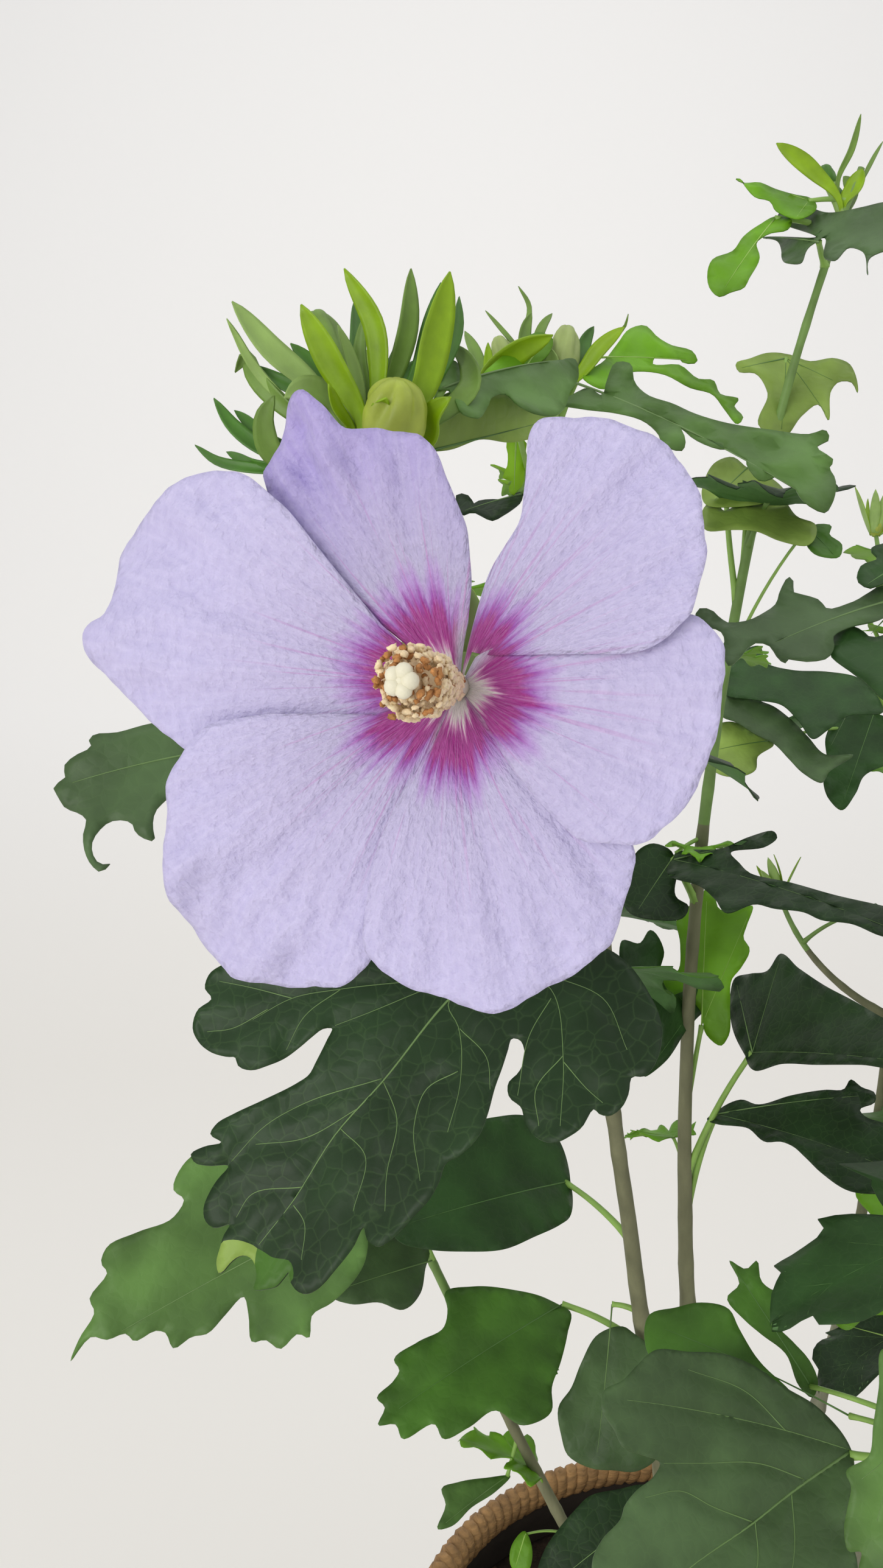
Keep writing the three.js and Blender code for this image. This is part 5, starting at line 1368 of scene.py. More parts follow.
def petal_patch(k):
    """Places on petal k, its pattern coordinates, across in u and the distance from the throat in v, and its
    triangles."""
    line = petal_edge(k)
    reach = np.linalg.norm(line, axis=1)
    heavy = (line * reach[:, None]).sum(0)
    middle = math.atan2(heavy[1], heavy[0])
    half = np.abs(np.angle(np.exp(1j * (np.arctan2(line[:, 1], line[:, 0]) - middle)))).max()
    ends = line[[-1, 0]]
    closed = np.concatenate([line, ends / np.linalg.norm(ends, axis=1, keepdims=True) * PETAL_FOOT])
    edge = resampled(closed, PETAL_STEP)
    spots, faces = patch_of(edge, [], PETAL_STEP)
    out = np.linalg.norm(spots, axis=1)
    turn = np.angle(np.exp(1j * (np.arctan2(spots[:, 1], spots[:, 0]) - middle)))
    across = turn / half
    angle = middle + turn * mix(0.94, 1.0, ease(2, 17, out))
    crumple, high = PETAL_CRUMPLE[k], PETAL_RELIEF
    far = out / 50
    calm = 1 - ease(0.5, 3.5, 4 - nearest(spots, edge)[0])
    rise = (bowl(out)
            - FUNNEL["pinwheel"] * across * out
            + high["roll"] * far**3 * np.sin(5 * across + 2 * k)
            + high["ruffle"] * crumple * far**4 * np.sin(12 * across + 2.3 * k)
            + calm * (high["crumple"] * crumple * ease(0.4, 1, far) * np.sin(21 * across + 9 * far + k)
                      + high["crease"] * crumple * ease(0.5, 1, far) * np.sin(33 * across - 25 * far + k)
                      + high["ray"] * ease(0.1, 0.4, far) * np.sin(31 * across + k)
                      + high["grain"] * ease(0.25, 0.6, far)
                      * np.sin(2.0 * out + 2.2 * np.sin(7 * across + k))
                      * np.sin(24 * across + 1.9 * np.sin(0.31 * out + 2 * k)))
            - (high["fold"] * np.exp(-(((across - 0.33) / 0.08) ** 2)) * ease(0.6, 1.0, far)
               if k == FOLDED_PETAL else 0)
            - high["groove"] * np.exp(-((across / 0.12) ** 2)) * ease(0.9, 0.3, far) * ease(0, 0.2, far))
    flat = np.cos(angle)[:, None] * BLOOM_RIGHT + np.sin(angle)[:, None] * BLOOM_UP
    places = np.array(THROAT) + rise[:, None] * BLOOM + out[:, None] * flat
    return places, np.stack([3 * k + 0.5 + 0.49 * across, out / 60], -1), faces


def build_petals(settings, materials):
    for k in range(len(PETAL_OUTLINES)):
        pile = Pile()
        top, uv, faces = petal_patch(k)
        add_patch(pile, top, BLOOM, settings.petal_thickness / MM, faces, [0] * len(faces), 0, uv)
        nodes = ("corolla",) if k == 0 else ()
        material = materials["shaded_petal" if PETAL_CRUMPLE[k] > 2 else "petal"]
        make_piece(f"petal_{k + 1}", pile, [material], nodes)


def build_column(settings, materials):
    axis = heading(*COLUMN["axis"])
    up, left = axes_of(axis, np.array([0, 0, 1.0]))
    start, foot = on_axis(COLUMN["start"]), on_axis(COLUMN["start"] - COLUMN["sunk"])
    length = COLUMN["length"]
    pile = Pile()
    line = np.concatenate([[foot], start + np.outer(np.linspace(0, 1, 12) * length, axis)])
    add_tube(pile, line, np.concatenate([[COLUMN["foot"]], np.linspace(*COLUMN["radius"], 12)]), 16, 0)
    points, faces = ball(2)
    for k in range(settings.anthers):
        share = (k + 0.8 * chance(k + 0.1)) / settings.anthers
        at = start + axis * length * mix(*ANTHER["range"], share**0.8)
        out = around(up, left, k * GOLDEN_ANGLE + 30 * chance(k))
        inner = mix(0.84, 0.3, ease(0.72, 0.9, share))
        spread = mix(*ANTHER["spread"], ease(0.05, 0.6, share)) * mix(inner, 1.03, chance(k + 0.3))
        head = at + out * spread + axis * mix(-0.4, 1.2, chance(k + 0.5))
        if share < ANTHER["threads_to"]:
            add_tube(pile, [at, (at + head) / 2, at + out * spread * 0.8], ANTHER["thread"], 4, 1)
        size = np.array(ANTHER["size"]) * mix(0.7, 1.1, chance(k + 0.7))
        turned = points * size * (1 + 0.24 * np.sin(5 * points[:, :1] + 7 * points[:, 1:2] + k))
        turned[:, 2] += 0.3 * turned[:, 0] ** 2
        side = around(np.cross(out, axis), axis, 180 * chance(k + 0.6))
        dry = chance(k + 0.9) < mix(*ANTHER["dry"], ease(0.76, 0.88, share))
        pile.add(head + turned @ np.stack([side, np.cross(out, side), out]), faces, 2 if dry else 1)
    tip = start + axis * (length + 0.2)
    pile.add(tip + points * STIGMA, faces, 3)
    heart = start + axis * length * 0.55
    pile.add(heart + (points * np.array([length * 0.42, 3.7, 3.7])) @ np.stack([axis, up, left]), faces, 1)
    for k in range(5):
        out = around(up, left, 72 * k + 20)
        pile.add(tip + out * STIGMA + axis * 0.3 + points * (STIGMA + 0.05 + 0.1 * math.sin(3 * k)), faces, 3)
    slots = [materials[name] for name in ("column", "anther", "old_anther", "stigma")]
    make_piece("staminal_column_look", pile, slots, ("staminal_column",))


def build_calyx(materials):
    pile = Pile()
    shoot = SHOOTS["a"]
    foot = on_axis(-CALYX["length"])
    top = on_axis(-CALYX["cup_top"])
    share = np.linspace(0, 1, 12)
    radius = mix(CALYX["cup_foot"], CALYX["radius"], ease(0, 0.75, share)) * (1 - 0.08 * ease(0.8, 1, share))
    add_tube(pile, foot + np.outer(share, top - foot), radius, 30, 0,
             lambda i, angles: 0.25 * np.sin(5 * angles) * share[i])
    seat = mix(foot, top, 0.6)
    for k in range(CALYX["sepals"]):
        out = around(BLOOM_RIGHT, BLOOM_UP, k * 360 / CALYX["sepals"] + CALYX["turn"])
        along = around(BLOOM, out, CALYX["lean"])
        add_bract(pile, seat + out * 3, along, -BLOOM, CALYX["sepal_length"], CALYX["sepal_width"],
                  (1, 0), 20)
    for k in range(CALYX["outer"]):
        out = around(BLOOM_RIGHT, BLOOM_UP, k * 360 / CALYX["outer"] + 9)
        add_bract(pile, foot + out * 2, BLOOM * 0.55 + out * 0.83, -BLOOM, *CALYX["outer_size"],
                  (1, 0), -30, 7)
    tip = bezier(shoot.line, CALYX["stalk_at"])[0]
    ahead = bezier(shoot.line, CALYX["stalk_at"] + 0.01)[0] - tip
    towards = foot - tip
    towards = unit(towards - unit(ahead) * (towards @ unit(ahead)))
    thick = mix(*shoot.radius, CALYX["stalk_at"])
    start = tip + towards * thick * 0.6
    bend = on_axis(-CALYX["length"] - CALYX["stalk_bend"])
    line = bezier([start, bend, foot + BLOOM * 3], np.linspace(0, 1, 16))
    add_tube(pile, line, mix(*CALYX["stalk"], ease(0.8, 1, np.linspace(0, 1, 16))), 12, 0)
    make_piece("calyx_look", pile, [materials["bract_under"], materials["bract"]],
               ("calyx",))


# Pieces of the plant


def build_wood(plant, settings, materials):
    bark, twigs = Pile(), Pile()
    sides, low, high = 40, COLLAR["foot"], COLLAR["foot"] + COLLAR["height"]
    heights = np.linspace(0, 1, 12)
    turns = [math.atan2(s.line[1][1] - s.line[0][1], s.line[1][0] - s.line[0][0]) for s in SHOOTS.values()]

    def flutes(z, angles):
        share = (z - low) / (high - low)
        rib = sum(np.exp(-((np.angle(np.exp(1j * (angles - t))) / 0.3) ** 2)) for t in turns)
        grain = COLLAR["grain"] * np.sin(9 * angles + 14 * share)
        return (np.clip(rib, 0, 1) - 0.6) * mix(*COLLAR["flutes"], share) + grain

    profile = [(0, low)] + [(mix(COLLAR["flare"] - 2.6, COLLAR["neck"] - 1, h**0.6), mix(low, high, h))
                            for h in heights] + [(8, high + 2), (0, high + 2.5)]
    lathe(bark, profile, sides, 0, flutes)
    for name, line, radius, leafy in plant.limbs:
        if name in SHOOTS:
            add_limb(bark, line, radius, 0, leafy + 0.01, 60, 16, (0, 1, leafy * 0.8),
                     settings.bark_relief)
        rings = 70 if name in SHOOTS else 30
        add_limb(twigs, line, radius, leafy, 1.0, rings, 10, (0, 1, 0.6), TWIG_RELIEF, name in SHOOTS)
    nodes = ["root_collar"] + ["bough_" + name for name in SHOOTS]
    make_piece("bark_wood", bark, [materials["bark"], materials["young_bark"]], nodes)
    for leaf in plant.leaves:
        add_stalk(twigs, leaf, 2 if leaf.green in (FRESH, YOUNG) or leaf.spots else 1)
    make_piece("twigs_and_stalks", twigs,
               [materials["young_bark"], materials["twig"], materials["leaf_stalk"]])


def build_leaves(plant, materials):
    front, back, lines, large = Pile(), Pile(), Pile(), Pile()
    for leaf in plant.leaves:
        young = leaf.green in (FRESH, YOUNG)
        slots = (leaf.green, YOUNG_UNDER if young else UNDER)
        vein = 0 if young else 2 if leaf.green in (DARK, LIGHT, PAINTED_SHEEN) else 1
        if leaf.spots:
            outlined_blade(large if leaf.large else front, lines, leaf, slots, vein)
        else:
            blade(back, leaf, 42, 4, slots)
            veins(lines, leaf, vein)
    nodes = ["foliage_" + name for name in SHOOTS]
    greens = [materials[f"leaf_{n}"] for n in range(UNDER)]
    greens += [materials["leaf_under"], materials["young_under"]]
    make_piece("leaves_large", large, greens)
    make_piece("leaves_front", front, greens, nodes)
    make_piece("leaves_back", back, greens)
    kinds = ("young_vein", "vein", "old_vein")
    make_piece("leaf_veins", lines, [materials[name] for name in kinds])


def build_buds(plant, settings, materials):
    pile = Pile()
    for foot, axis, scale, seed in plant.buds:
        add_bud(pile, foot, axis, scale, seed, (0, 1, 2), settings.bracts)
    for (name, at), rows in BRACTS.items():
        hub = bezier(BUD_TWIG["line"] if name == "c" else SHOOTS[name].line, at)[0]
        for n, (foot, bend, end, width, back, slot) in enumerate(rows):
            places = [hub] + [seen_at(spot, hub[1] + back * share)
                              for spot, share in ((foot, 0.3), (bend, 0.65), (end, 1.0))]
            add_bract_line(pile, np.array(places), width, (slot, PALE if slot == BRIGHT else slot),
                           BRACT_TWIST * (-1) ** n)
        for middle, back, way, radius, length, slot in CLUSTER_BUDS[name, at]:
            add_bud_alone(pile, hub, seen_at(middle, hub[1] + back), heading(*way), radius, length, slot)
    kinds = ("bud", "bract", "bract_under", "bract_deep", "bract_grey", "bud_pale")
    make_piece("buds", pile, [materials[kind] for kind in kinds])


# Pieces of the pot


def build_basket(settings, materials):
    weave, frame_work = Pile(), Pile()
    stakes = settings.stakes
    step = BASKET["pitch"] * (ROWS - 1) / (settings.rows - 1)
    angles = np.linspace(0, 2 * np.pi, stakes * 7 + 1)
    for row in range(settings.rows):
        z = BASKET["first_row"] + step * row
        sag = 0.5 * np.sin(3 * angles + 2 * row) + 0.3 * np.sin(11 * angles + 5 * row)
        r = wall_radius(z) - BASKET["inset"] + BASKET["weave"] * np.cos(stakes / 2 * angles + math.pi * row)
        line = circle(angles, r, z + sag)
        thick = BASKET["strand"] + 0.2 * np.sin(7 * angles + row) + 0.12 * np.sin(31 * angles + 3 * row)
        # Each row takes in turn the plain fibre, the painted highlight and the darker painted shade
        add_tube(weave, line, thick, 8, row % 3, flat=BASKET["flat"])
    heights = np.linspace(2, BASKET["height"] - 3, 30)
    for k in range(stakes):
        r = np.array([wall_radius(z) - BASKET["inset"] for z in heights])
        line = circle(2 * np.pi * k / stakes + 0 * heights, r, heights)
        add_tube(frame_work, line, BASKET["stake"] + 0 * heights, 7)
    turn = np.linspace(0, 2 * np.pi, BRAID["turns"] * 9 + 1)
    for phase in (0, math.pi):
        roll = BRAID["turns"] * turn + phase
        r = BASKET["rim"] - BRAID["inset"] + BRAID["wide"] * np.cos(roll)
        line = circle(turn, r, BASKET["height"] + BRAID["high"] * np.sin(roll))
        add_tube(frame_work, line, BRAID["strand"] + 0 * turn, 8)
    make_piece("basket_weave", weave, [materials["fibre"], materials["fibre_light"], materials["fibre_dark"]],
               ("basket",))
    make_piece("basket_stakes_and_rim", frame_work, [materials["fibre"]])
    lining = Pile()
    up = np.linspace(2, BASKET["height"] - 2, 16)
    down = np.linspace(BASKET["height"] - 2, BASKET["floor"], 16)
    profile = [(0, LINING["under"]), (BASKET["foot"] - 5, LINING["under"])]
    profile += [(wall_radius(z) - LINING["outside"], z) for z in up]
    profile += [(wall_radius(z) - LINING["inside"], z) for z in down] + [(0, BASKET["floor"])]
    lathe(lining, profile, 96)
    make_piece("basket_lining", lining, [materials["lining"]])


def build_soil(settings, materials):
    pile = Pile()
    level, bottom, rings = SOIL["level"], SOIL["bottom"], SOIL["rings"]
    top = wall_radius(level) - SOIL["from_wall"]
    profile = [(0, bottom), (BASKET["foot"] - 9, bottom)]
    profile += [(wall_radius(z) - SOIL["from_wall"] - 0.1, z) for z in np.linspace(20, level - 2, 10)]
    profile += [(top * (1 - k / rings), level) for k in range(rings)] + [(0, level)]
    lathe(pile, profile, SOIL["sides"])
    points = pile.points[0]
    x, y, z = points.T
    rough = (np.sin(0.31 * x + 1.3 * np.sin(0.23 * y)) * np.cos(0.27 * y + 0.9 * np.sin(0.19 * x))
             + 0.6 * np.sin(0.83 * x + 0.4 * y) * np.cos(0.71 * y - 0.35 * x)
             + 0.4 * np.sin(1.7 * x - 0.9 * y) * np.sin(1.5 * y + 0.8 * x))
    on_top = (z > level - 1) & (np.hypot(x, y) < top * 0.99)
    points[:, 2] += np.where(on_top, SOIL["rough"] * rough, 0)
    make_piece("potting_mix", pile, [materials["soil"]], ("soil",))
    bits = Pile()
    shape, faces = ball(1)
    for k in range(settings.chips):
        r = top * 0.97 * math.sqrt(chance(k + 0.15))
        a = 2 * math.pi * chance(k + 0.35)
        kind = 1 if chance(k + 0.55) < GRAIN["perlite"] else 0
        size = mix(*GRAIN["size"], chance(k + 0.75)) * (1 if kind else GRAIN["chip"])
        stretch = np.array(GRAIN["shapes"][kind])
        turn = heading(360 * chance(k + 0.95), 40 * (chance(k + 0.05) - 0.5))
        up, left = axes_of(turn, np.array([0, 0, 1.0]))
        place = np.array([math.cos(a) * r, math.sin(a) * r, level + GRAIN["above"]])
        bits.add(place + (shape * size * stretch) @ np.stack([turn, left, up]), faces, kind)
    make_piece("bark_chips_and_perlite", bits, [materials["chip"], materials["perlite"]])


# Surfaces


def linear(code):
    """Linear colour of an sRGB hex code."""
    parts = [int(code[i:i + 2], 16) / 255 for i in (1, 3, 5)]
    return tuple(c / 12.92 if c <= 0.04045 else ((c + 0.055) / 1.055) ** 2.4 for c in parts)


def add_node(tree, kind, inputs=None, **values):
    """A node with its settings; an input given as a socket is linked, and any other is set."""
    node = tree.nodes.new(kind)
    for key, value in values.items():
        setattr(node, key, value)
    for key, value in (inputs or {}).items():
        if isinstance(value, bpy.types.NodeSocket):
            tree.links.new(value, node.inputs[key])
        else:
            node.inputs[key].default_value = value
    return node


def new_material(name):
    material = bpy.data.materials.new(name)
    material.use_nodes = True
    tree = material.node_tree
    tree.nodes.clear()
    return material, tree


def finish_material(tree, colour, roughness, bump=None, strength=0.2, depth=0.2, more=None):
    """The surface itself, with an optional fine relief of a depth in millimetres."""
    inputs = {"Base Color": colour, "Roughness": roughness}
    if bump is not None:
        relief = {"Height": bump, "Strength": strength, "Distance": depth * MM}
        inputs["Normal"] = add_node(tree, "ShaderNodeBump", relief).outputs["Normal"]
    inputs.update(more or {})
    surface = add_node(tree, "ShaderNodeBsdfPrincipled", inputs)
    add_node(tree, "ShaderNodeOutputMaterial", {"Surface": surface.outputs["BSDF"]})


def noise(tree, vector, size, detail=3.0, roughness=0.5):
    """Noise with spots of about a size in millimetres."""
    return add_node(tree, "ShaderNodeTexNoise", {"Vector": vector, "Scale": 1 / (size * MM),
                                                 "Detail": detail, "Roughness": roughness})


def maths(tree, operation, a, b):
    """A sum, difference, product or the like of two values."""
    return add_node(tree, "ShaderNodeMath", {0: a, 1: b}, operation=operation).outputs[0]


def blend(tree, factor, a, b, kind="MIX"):
    """Two colours mixed by a factor."""
    b = b if isinstance(b, bpy.types.NodeSocket) else (*b[:3], 1)
    return add_node(tree, "ShaderNodeMix", {0: factor, 6: a, 7: b}, data_type="RGBA",
                    blend_type=kind).outputs[2]


def ramp(tree, value, stops):
    """The colour that a value has on a row of places and colours."""
    node = add_node(tree, "ShaderNodeValToRGB", {"Fac": value})
    elements = node.color_ramp.elements
    while len(elements) < len(stops):
        elements.new(0.5)
    for element, (place, colour) in zip(elements, stops):
        element.position = place
        element.color = (*colour[:3], 1)
    return node.outputs["Color"]


def shaded(colour, factor):
    return tuple(min(1.0, c * factor) for c in colour[:3])


def mottled(name, colour, spread, spot, roughness, grain, strength, depth, upright=1, thin=0):
    """A natural surface: one colour in lighter and darker spots, with a fine grain in relief."""
    material, tree = new_material(name)
    place = add_node(tree, "ShaderNodeTexCoord").outputs["Object"]
    if upright != 1:
        scaled = {"Vector": place, "Scale": (1, 1, upright)}
        place = add_node(tree, "ShaderNodeMapping", scaled).outputs["Vector"]
    spots = noise(tree, place, spot, 4.0).outputs["Fac"]
    low, high = shaded(colour, 1 - spread), shaded(colour, 1 + spread)
    mixed = ramp(tree, spots, [(0.3, low), (0.52, colour), (0.72, high)])
    fine = noise(tree, place, grain, 5.0, 0.6).outputs["Fac"]
    glow = {"Subsurface Weight": thin, "Subsurface Radius": THIN_GREEN} if thin else {}
    finish_material(tree, mixed, roughness, fine, strength, depth, glow)
    return material


def leaf_material(name, colour, spread, net, roughness=0.5):
    """Leaf blade: mottled green with a net of fine veins a few millimetres apart, sunk into its surface."""
    material, tree = new_material(name)
    place = add_node(tree, "ShaderNodeTexCoord").outputs["Object"]
    spots = noise(tree, place, NET["spot"], 3.0, 0.4).outputs["Fac"]
    base = ramp(tree, spots, [(0.36, shaded(colour, 1 - spread * 0.8)), (0.52, colour),
                              (0.66, shaded(colour, 1 + spread))])
    warped = add_node(tree, "ShaderNodeVectorMath", {0: noise(tree, place, NET["bend"]).outputs["Color"],
                                                     1: (NET["shift"] * MM,) * 3}, operation="MULTIPLY")
    moved = add_node(tree, "ShaderNodeVectorMath", {0: place, 1: warped.outputs[0]}, operation="ADD")
    meshes = {"Vector": moved.outputs[0], "Scale": 1 / (NET["mesh"] * MM)}
    cells = add_node(tree, "ShaderNodeTexVoronoi", meshes, feature="DISTANCE_TO_EDGE")
    line = ramp(tree, cells.outputs["Distance"], [(0.0, WHITE), (0.035, (0.3, 0.3, 0.3)), (0.07, BLACK)])
    fine = mix(np.array(colour[:3]), np.array(linear(NET["green"])), 0.55)
    mixed = blend(tree, maths(tree, "MULTIPLY", line, net), base, fine)
    height = ramp(tree, cells.outputs["Distance"], [(0.0, BLACK), (0.3, WHITE)])
    finish_material(tree, mixed, roughness, height, 0.5, NET["depth"],
                    {"Subsurface Weight": 0.08, "Subsurface Radius": THIN_GREEN, "Specular IOR Level": 0.3})
    return material


def petal_material(settings, name, depth, rim):
    """Thin hibiscus petal: a white throat, a magenta eye that frays into purple streaks, and lavender to the
    edge. Its pattern follows the petal: u across it, v away from the throat with 1 at 60 mm."""
    material, tree = new_material(name)
    place = add_node(tree, "ShaderNodeUVMap", uv_map="Pattern").outputs["UV"]
    parts = add_node(tree, "ShaderNodeSeparateXYZ", {"Vector": place}).outputs

    def rays(across, along, detail):
        stretched = add_node(tree, "ShaderNodeMapping", {"Vector": place, "Scale": (across, along, 1)})
        return add_node(tree, "ShaderNodeTexNoise", {"Vector": stretched.outputs["Vector"], "Scale": 1.0,
                                                     "Detail": detail}).outputs["Fac"]

    part = maths(tree, "SUBTRACT", maths(tree, "FRACT", parts["X"], 0.0), 0.5)
    across = maths(tree, "MULTIPLY", part, 2.0)
    wide = maths(tree, "POWER", maths(tree, "ABSOLUTE", across, 0.0), 2.0)
    frayed = maths(tree, "ADD", rays(24, 2.0, 4.0), rays(9, 1.3, 3.0))
    fray = maths(tree, "MULTIPLY", maths(tree, "SUBTRACT", frayed, 1.0), 0.16)
    moved = maths(tree, "ADD", maths(tree, "ADD", parts["Y"], fray), maths(tree, "MULTIPLY", wide, 0.10))
    eye = settings.eye_colour
    # depth below 1 dims the lavender, and the pale zones beside the eye and in the rays, as painted shade for
    # a crumpled petal
    shade = [shaded(settings.middle_colour, depth), linear(rim) if rim else settings.edge_colour]
    stops = [(0.0, linear("#E6E2D8")), (0.085, linear("#EDE6E4")), (0.11, linear("#CF86BD")), (0.13, eye),
             (0.20, shaded(eye, 0.92)), (0.228, linear("#9A4FAC")), (0.262, linear("#AE8CCB")),
             (0.32, shade[0]), (0.75, shade[1]), (1.0, shaded(shade[1], 0.97))]
    colour = ramp(tree, moved, stops)
    beside = maths(tree, "MULTIPLY", ramp(tree, wide, [(0.40, BLACK), (0.80, WHITE)]),
                   ramp(tree, parts["Y"], [(0.12, WHITE), (0.24, BLACK)]))
    colour = blend(tree, beside, colour, shaded(linear("#D3CAE0"), depth))
    inner = ramp(tree, parts["Y"], [(0.06, BLACK), (0.16, WHITE), (0.62, BLACK)])
    thin = ramp(tree, rays(60, 1.6, 2.0), [(0.60, BLACK), (0.66, WHITE)])
    streaks = maths(tree, "MULTIPLY", maths(tree, "MULTIPLY", thin, inner), 0.55)
    colour = blend(tree, streaks, colour, linear("#B45AAE"))
    pale = ramp(tree, rays(90, 6.0, 5.0), [(0.42, BLACK), (0.66, WHITE)])
    colour = blend(tree, maths(tree, "MULTIPLY", pale, 0.14), colour, shaded(linear("#DED8F2"), depth))
    crinkle = rays(44, 40, 3.0)
    # The crinkle also lightens and darkens the colour a little: painted light and shade on its bumps
    relief = ramp(tree, crinkle, [(0.34, (0.945, 0.94, 0.965)), (0.5, WHITE), (0.62, (1.035, 1.035, 1.03))])
    colour = blend(tree, 1.0, colour, relief, "MULTIPLY")
    finish_material(tree, colour, 0.62, crinkle, 0.8, 0.8,
                    {"Sheen Weight": 0.1, "Sheen Roughness": 0.4, "Subsurface Weight": 0.15,
                     "Subsurface Radius": THIN_PETAL})
    return material


def all_materials(scene):
    """Every material of the shrub, by the short name that the builders use."""
    bloom = scene.hibiscus_bloom
    own = {"bark": scene.hibiscus_wood.bark_colour, "anther": bloom.anther_colour,
           "fibre": scene.hibiscus_basket.fibre_colour}
    made = {key: mottled(name, linear(code) if code else own[key], *numbers)
            for key, (name, code, *numbers) in SURFACES.items()}
    for n, (name, setting) in enumerate(LEAF_KINDS):
        green = tuple(getattr(scene.hibiscus_leaves, setting))
        # Their spots, lighter and darker by up to about three tenths, are partly the blade's own mottling and
        # partly painted light and shade, as of light on its folds
        made[f"leaf_{n}"] = leaf_material(name, green, 0.3, 0.12 if n == DARK else 0.06)
    # Pale matt green with a raised net, which tells the blade's two sides apart
    made["leaf_under"] = leaf_material("Hibiscus leaf underside", linear("#557B47"), 0.15, 0.2, 0.62)
    # The same net on a bright yellow-green
    made["young_under"] = leaf_material("Young leaf underside", linear("#7FAA45"), 0.12, 0.2, 0.6)
    # Thin and silky, finely crinkled, so that the lavender looks lit from within
    made["petal"] = petal_material(bloom, "Hibiscus petal, smooth", 1.0, None)
    # The same, dimmed as painted shade where the petal has crumpled and folded, and bluer towards its rim
    made["shaded_petal"] = petal_material(bloom, "Hibiscus petal, crumpled, in painted shade", 0.92, "#A598CF")
    return made


# Settings


def colour_property(name, what, code):
    return bpy.props.FloatVectorProperty(name=name, description=what, default=linear(code), size=3,
                                         min=0.0, max=1.0, subtype="COLOR")


def count_property(name, what, default, low, high):
    return bpy.props.IntProperty(name=name, description=what, default=default, min=low, max=high)


def share_property(name, what, default, high):
    return bpy.props.FloatProperty(name=name, description=what, default=default, min=0.0, max=high)


class LeafSettings(bpy.types.PropertyGroup):
    """Greens of the leaves and the number of small young ones."""

    dark_green: colour_property("Oldest leaves", "Colour of the oldest leaves", "#1F3619")
    deep_green: colour_property("Old leaves", "Colour of the grown leaves in the shade", "#2A4A1F")
    middle_green: colour_property("Grown leaves", "Colour of the grown leaves in the light", "#466F24")
    fresh_green: colour_property("Fresh leaves", "Colour of the fresh leaves", "#669A1C")
    young_green: colour_property("Young leaves", "Colour of the youngest leaves", "#84B51C")
    light_green: colour_property("Leaves in full light", "Colour of grown leaves in full light", "#56783A")
    # Painted sheen: a greyer green that stands for the gleam of light on old blades
    painted_sheen_green: colour_property("Old leaves with a painted sheen", "Colour of old leaves that shine", "#48603A")
    olive_green: colour_property("Leaves from below", "Colour of blades seen from below", "#86A04A")
    young_count: count_property("Young leaves", "Small young leaves on each shoot and twig", 4, 0, 12)


class BloomSettings(bpy.types.PropertyGroup):
    """Colours and sizes of the bloom and its buds."""

    eye_colour: colour_property("Eye", "Colour of the ring round the throat", "#A42D8C")
    middle_colour: colour_property("Middle of the petals", "Colour outside the eye", "#B8B0D4")
    edge_colour: colour_property("Edge of the petals", "Colour of the petals' outer part", "#BEB8DD")
    anther_colour: colour_property("Anthers", "Colour of the pollen-covered anthers", "#F8E0B8")
    petal_thickness: bpy.props.FloatProperty(name="Petal thickness", description="Thickness of a petal",
                                             default=0.00045, min=0.0002, max=0.0015, unit="LENGTH",
                                             precision=4)
    anthers: count_property("Anthers", "Anthers on the column", 440, 10, 500)
    bracts: count_property("Bracts", "Bracts round each bud", 8, 4, 14)


class WoodSettings(bpy.types.PropertyGroup):
    """Colour and relief of the stems."""

    bark_colour: colour_property("Bark", "Colour of the old bark", "#8C8B76")
    bark_relief: share_property("Bark relief", "Relief of the bark as a part of the stem's radius", 0.05, 0.2)


class BasketSettings(bpy.types.PropertyGroup):
    """Weave of the basket and what lies on the soil."""

    fibre_colour: colour_property("Fibre", "Colour of the woven fibre", "#A07A4C")
    rows: count_property("Rows", "Rows of the weave", ROWS, 6, 40)
    stakes: count_property("Stakes", "Upright stakes, an even number", 46, 12, 80)
    chips: count_property("Chips", "Bark chips and perlite grains on the soil", 420, 0, 1500)


class StageSettings(bpy.types.PropertyGroup):
    """Light and ground of the picture."""

    wall_colour: colour_property("Wall", "Colour of the plain wall", "#ECEBEA")
    floor_colour: colour_property("Floor", "Colour of the plain floor", "#E2DFD9")
    key_power: bpy.props.FloatProperty(name="Main light", description="Power of the large front light",
                                       default=11.5, min=0.0, max=500.0, unit="POWER")
    sky_strength: share_property("Room light", "Strength of the even light of the room", 0.55, 5.0)


SETTINGS = {"hibiscus_leaves": LeafSettings, "hibiscus_bloom": BloomSettings, "hibiscus_wood": WoodSettings,
            "hibiscus_basket": BasketSettings, "hibiscus_stage": StageSettings}


# Operators


class Grown:
    """The plant and the materials, made once and shared by the operators."""

    plant = None
    materials = None


def grown(scene):
    if Grown.plant is None:
        Grown.plant = Plant()
        Grown.plant.leaves += young_leaves(Grown.plant, scene.hibiscus_leaves.young_count)
        Grown.materials = all_materials(scene)
    return Grown.plant, Grown.materials


class Builder:
    """What the operators of the plant and its pot share."""

    def execute(self, context):
        self.build(context.scene, *grown(context.scene))
        return {"FINISHED"}


class HIBISCUS_OT_wood(Builder, bpy.types.Operator):
    """Models the root collar, the boughs, the twigs and the leaf stalks"""

    bl_idname = "hibiscus.wood"
    bl_label = "Stems and twigs"

    def build(self, scene, plant, materials):
        build_wood(plant, scene.hibiscus_wood, materials)


class HIBISCUS_OT_leaves(Builder, bpy.types.Operator):
    """Models the leaves with their veins"""

    bl_idname = "hibiscus.leaves"
    bl_label = "Leaves"

    def build(self, scene, plant, materials):
        build_leaves(plant, materials)


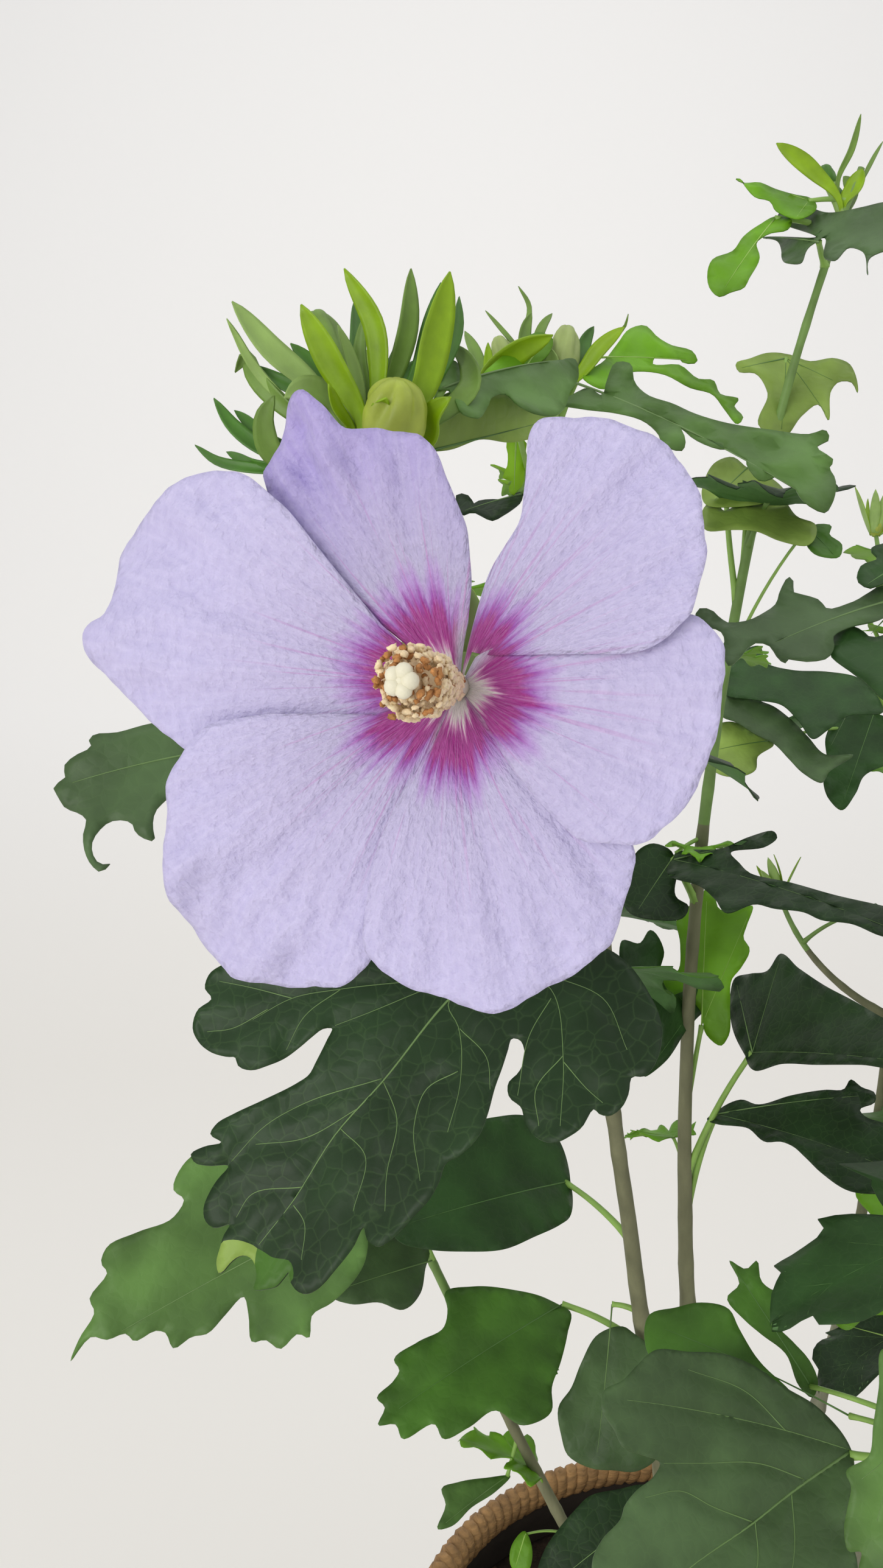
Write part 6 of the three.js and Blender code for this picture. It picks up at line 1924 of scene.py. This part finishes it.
class HIBISCUS_OT_buds(Builder, bpy.types.Operator):
    """Models the buds with their bracts"""

    bl_idname = "hibiscus.buds"
    bl_label = "Buds"

    def build(self, scene, plant, materials):
        build_buds(plant, scene.hibiscus_bloom, materials)


class HIBISCUS_OT_bloom(Builder, bpy.types.Operator):
    """Models the petals, the staminal column and the calyx"""

    bl_idname = "hibiscus.bloom"
    bl_label = "Bloom"

    def build(self, scene, plant, materials):
        build_petals(scene.hibiscus_bloom, materials)
        build_column(scene.hibiscus_bloom, materials)
        build_calyx(materials)


class HIBISCUS_OT_basket(Builder, bpy.types.Operator):
    """Models the woven basket with its stakes, rim and lining"""

    bl_idname = "hibiscus.basket"
    bl_label = "Basket"

    def build(self, scene, plant, materials):
        build_basket(scene.hibiscus_basket, materials)


class HIBISCUS_OT_soil(Builder, bpy.types.Operator):
    """Models the potting soil with its bark chips and perlite"""

    bl_idname = "hibiscus.soil"
    bl_label = "Soil"

    def build(self, scene, plant, materials):
        build_soil(scene.hibiscus_basket, materials)


def area_light(name, place, aim, size, power, colour):
    way = Vector(aim) - Vector(place)
    bpy.ops.object.light_add(type="AREA", location=place, rotation=way.to_track_quat("-Z", "Y").to_euler())
    light = bpy.context.object
    light.name = name
    light.data.shape = "DISK"
    light.data.size = size
    light.data.energy = power
    light.data.color = colour
    return light


class HIBISCUS_OT_stage(bpy.types.Operator):
    """Sets the floor, the wall, the lights and the camera"""

    bl_idname = "hibiscus.stage"
    bl_label = "Stage"

    def execute(self, context):
        settings = context.scene.hibiscus_stage
        bpy.ops.object.select_all(action="DESELECT")
        bpy.ops.mesh.primitive_grid_add(x_subdivisions=2, y_subdivisions=80, size=1, location=(0, 0, 0))
        sweep = context.object
        sweep.name = "floor_and_wall"
        radius, turn = SWEEP["radius"], SWEEP["turn"]
        for v in sweep.data.vertices:
            along = v.co.y * SWEEP["length"] + SWEEP["middle"]
            bend = min(max((along - turn) / radius, 0), math.pi / 2)
            rise = max(along - turn - radius * math.pi / 2, 0)
            v.co = (v.co.x * SWEEP["width"], min(along, turn) + radius * math.sin(bend),
                    radius * (1 - math.cos(bend)) + rise - SWEEP["below"])
        for face in sweep.data.polygons:
            face.use_smooth = True
        # Plain matt paper, warmer at the ground and whiter upwards, which keeps every edge of the plant clear
        material, tree = new_material("Plain wall and floor")
        place = add_node(tree, "ShaderNodeTexCoord").outputs["Object"]
        parts = add_node(tree, "ShaderNodeSeparateXYZ", {"Vector": place}).outputs
        tint = ramp(tree, parts["Z"], [(0.0, settings.floor_colour), (0.75, settings.wall_colour)])
        glow = {"Emission Color": (*settings.wall_colour, 1), "Emission Strength": 0.2}
        finish_material(tree, tint, 0.9, more=glow)
        sweep.data.materials.append(material)
        main, fill, back = [area_light(name, place, aim, size, settings.key_power * share, colour)
                            for name, place, aim, size, share, colour in LIGHTS]
        world = context.scene.world or bpy.data.worlds.new("World")
        context.scene.world = world
        world.use_nodes = True
        world.node_tree.nodes.clear()
        sky = add_node(world.node_tree, "ShaderNodeBackground",
                       {"Color": (1, 1, 1, 1), "Strength": settings.sky_strength})
        add_node(world.node_tree, "ShaderNodeOutputWorld", {"Surface": sky.outputs["Background"]})
        bpy.ops.object.camera_add(location=tuple(CAMERA * MM), rotation=(math.pi / 2, 0, 0))
        camera = context.object
        camera.data.sensor_width, camera.data.lens = LENS
        camera.data.clip_start = 0.01
        context.scene.camera = camera
        context.scene.view_settings.view_transform = "Standard"
        return {"FINISHED"}


# The panel, and the script's own run
OPERATORS = (HIBISCUS_OT_wood, HIBISCUS_OT_leaves, HIBISCUS_OT_buds, HIBISCUS_OT_bloom, HIBISCUS_OT_basket,
             HIBISCUS_OT_soil, HIBISCUS_OT_stage)


class HIBISCUS_PT_panel(bpy.types.Panel):
    """Lists the pieces of the shrub and their settings"""

    bl_idname = "HIBISCUS_PT_panel"
    bl_label = "Hibiscus shrub"
    bl_space_type = "VIEW_3D"
    bl_region_type = "UI"
    bl_category = "Hibiscus"

    def draw(self, context):
        for operator in OPERATORS:
            self.layout.operator(operator.bl_idname)
        for name, group in SETTINGS.items():
            box = self.layout.box()
            for key in group.__annotations__:
                box.prop(getattr(context.scene, name), key)


CLASSES = (*SETTINGS.values(), *OPERATORS, HIBISCUS_PT_panel)


def register():
    for item in CLASSES:
        bpy.utils.register_class(item)
    for name, group in SETTINGS.items():
        setattr(bpy.types.Scene, name, bpy.props.PointerProperty(type=group))


def unregister():
    for name in SETTINGS:
        delattr(bpy.types.Scene, name)
    for item in reversed(CLASSES):
        bpy.utils.unregister_class(item)


def main():
    register()
    bpy.ops.hibiscus.wood()
    bpy.ops.hibiscus.leaves()
    bpy.ops.hibiscus.buds()
    bpy.ops.hibiscus.bloom()
    bpy.ops.hibiscus.basket()
    bpy.ops.hibiscus.soil()
    bpy.ops.hibiscus.stage()
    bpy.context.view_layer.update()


if __name__ == "__main__":
    main()
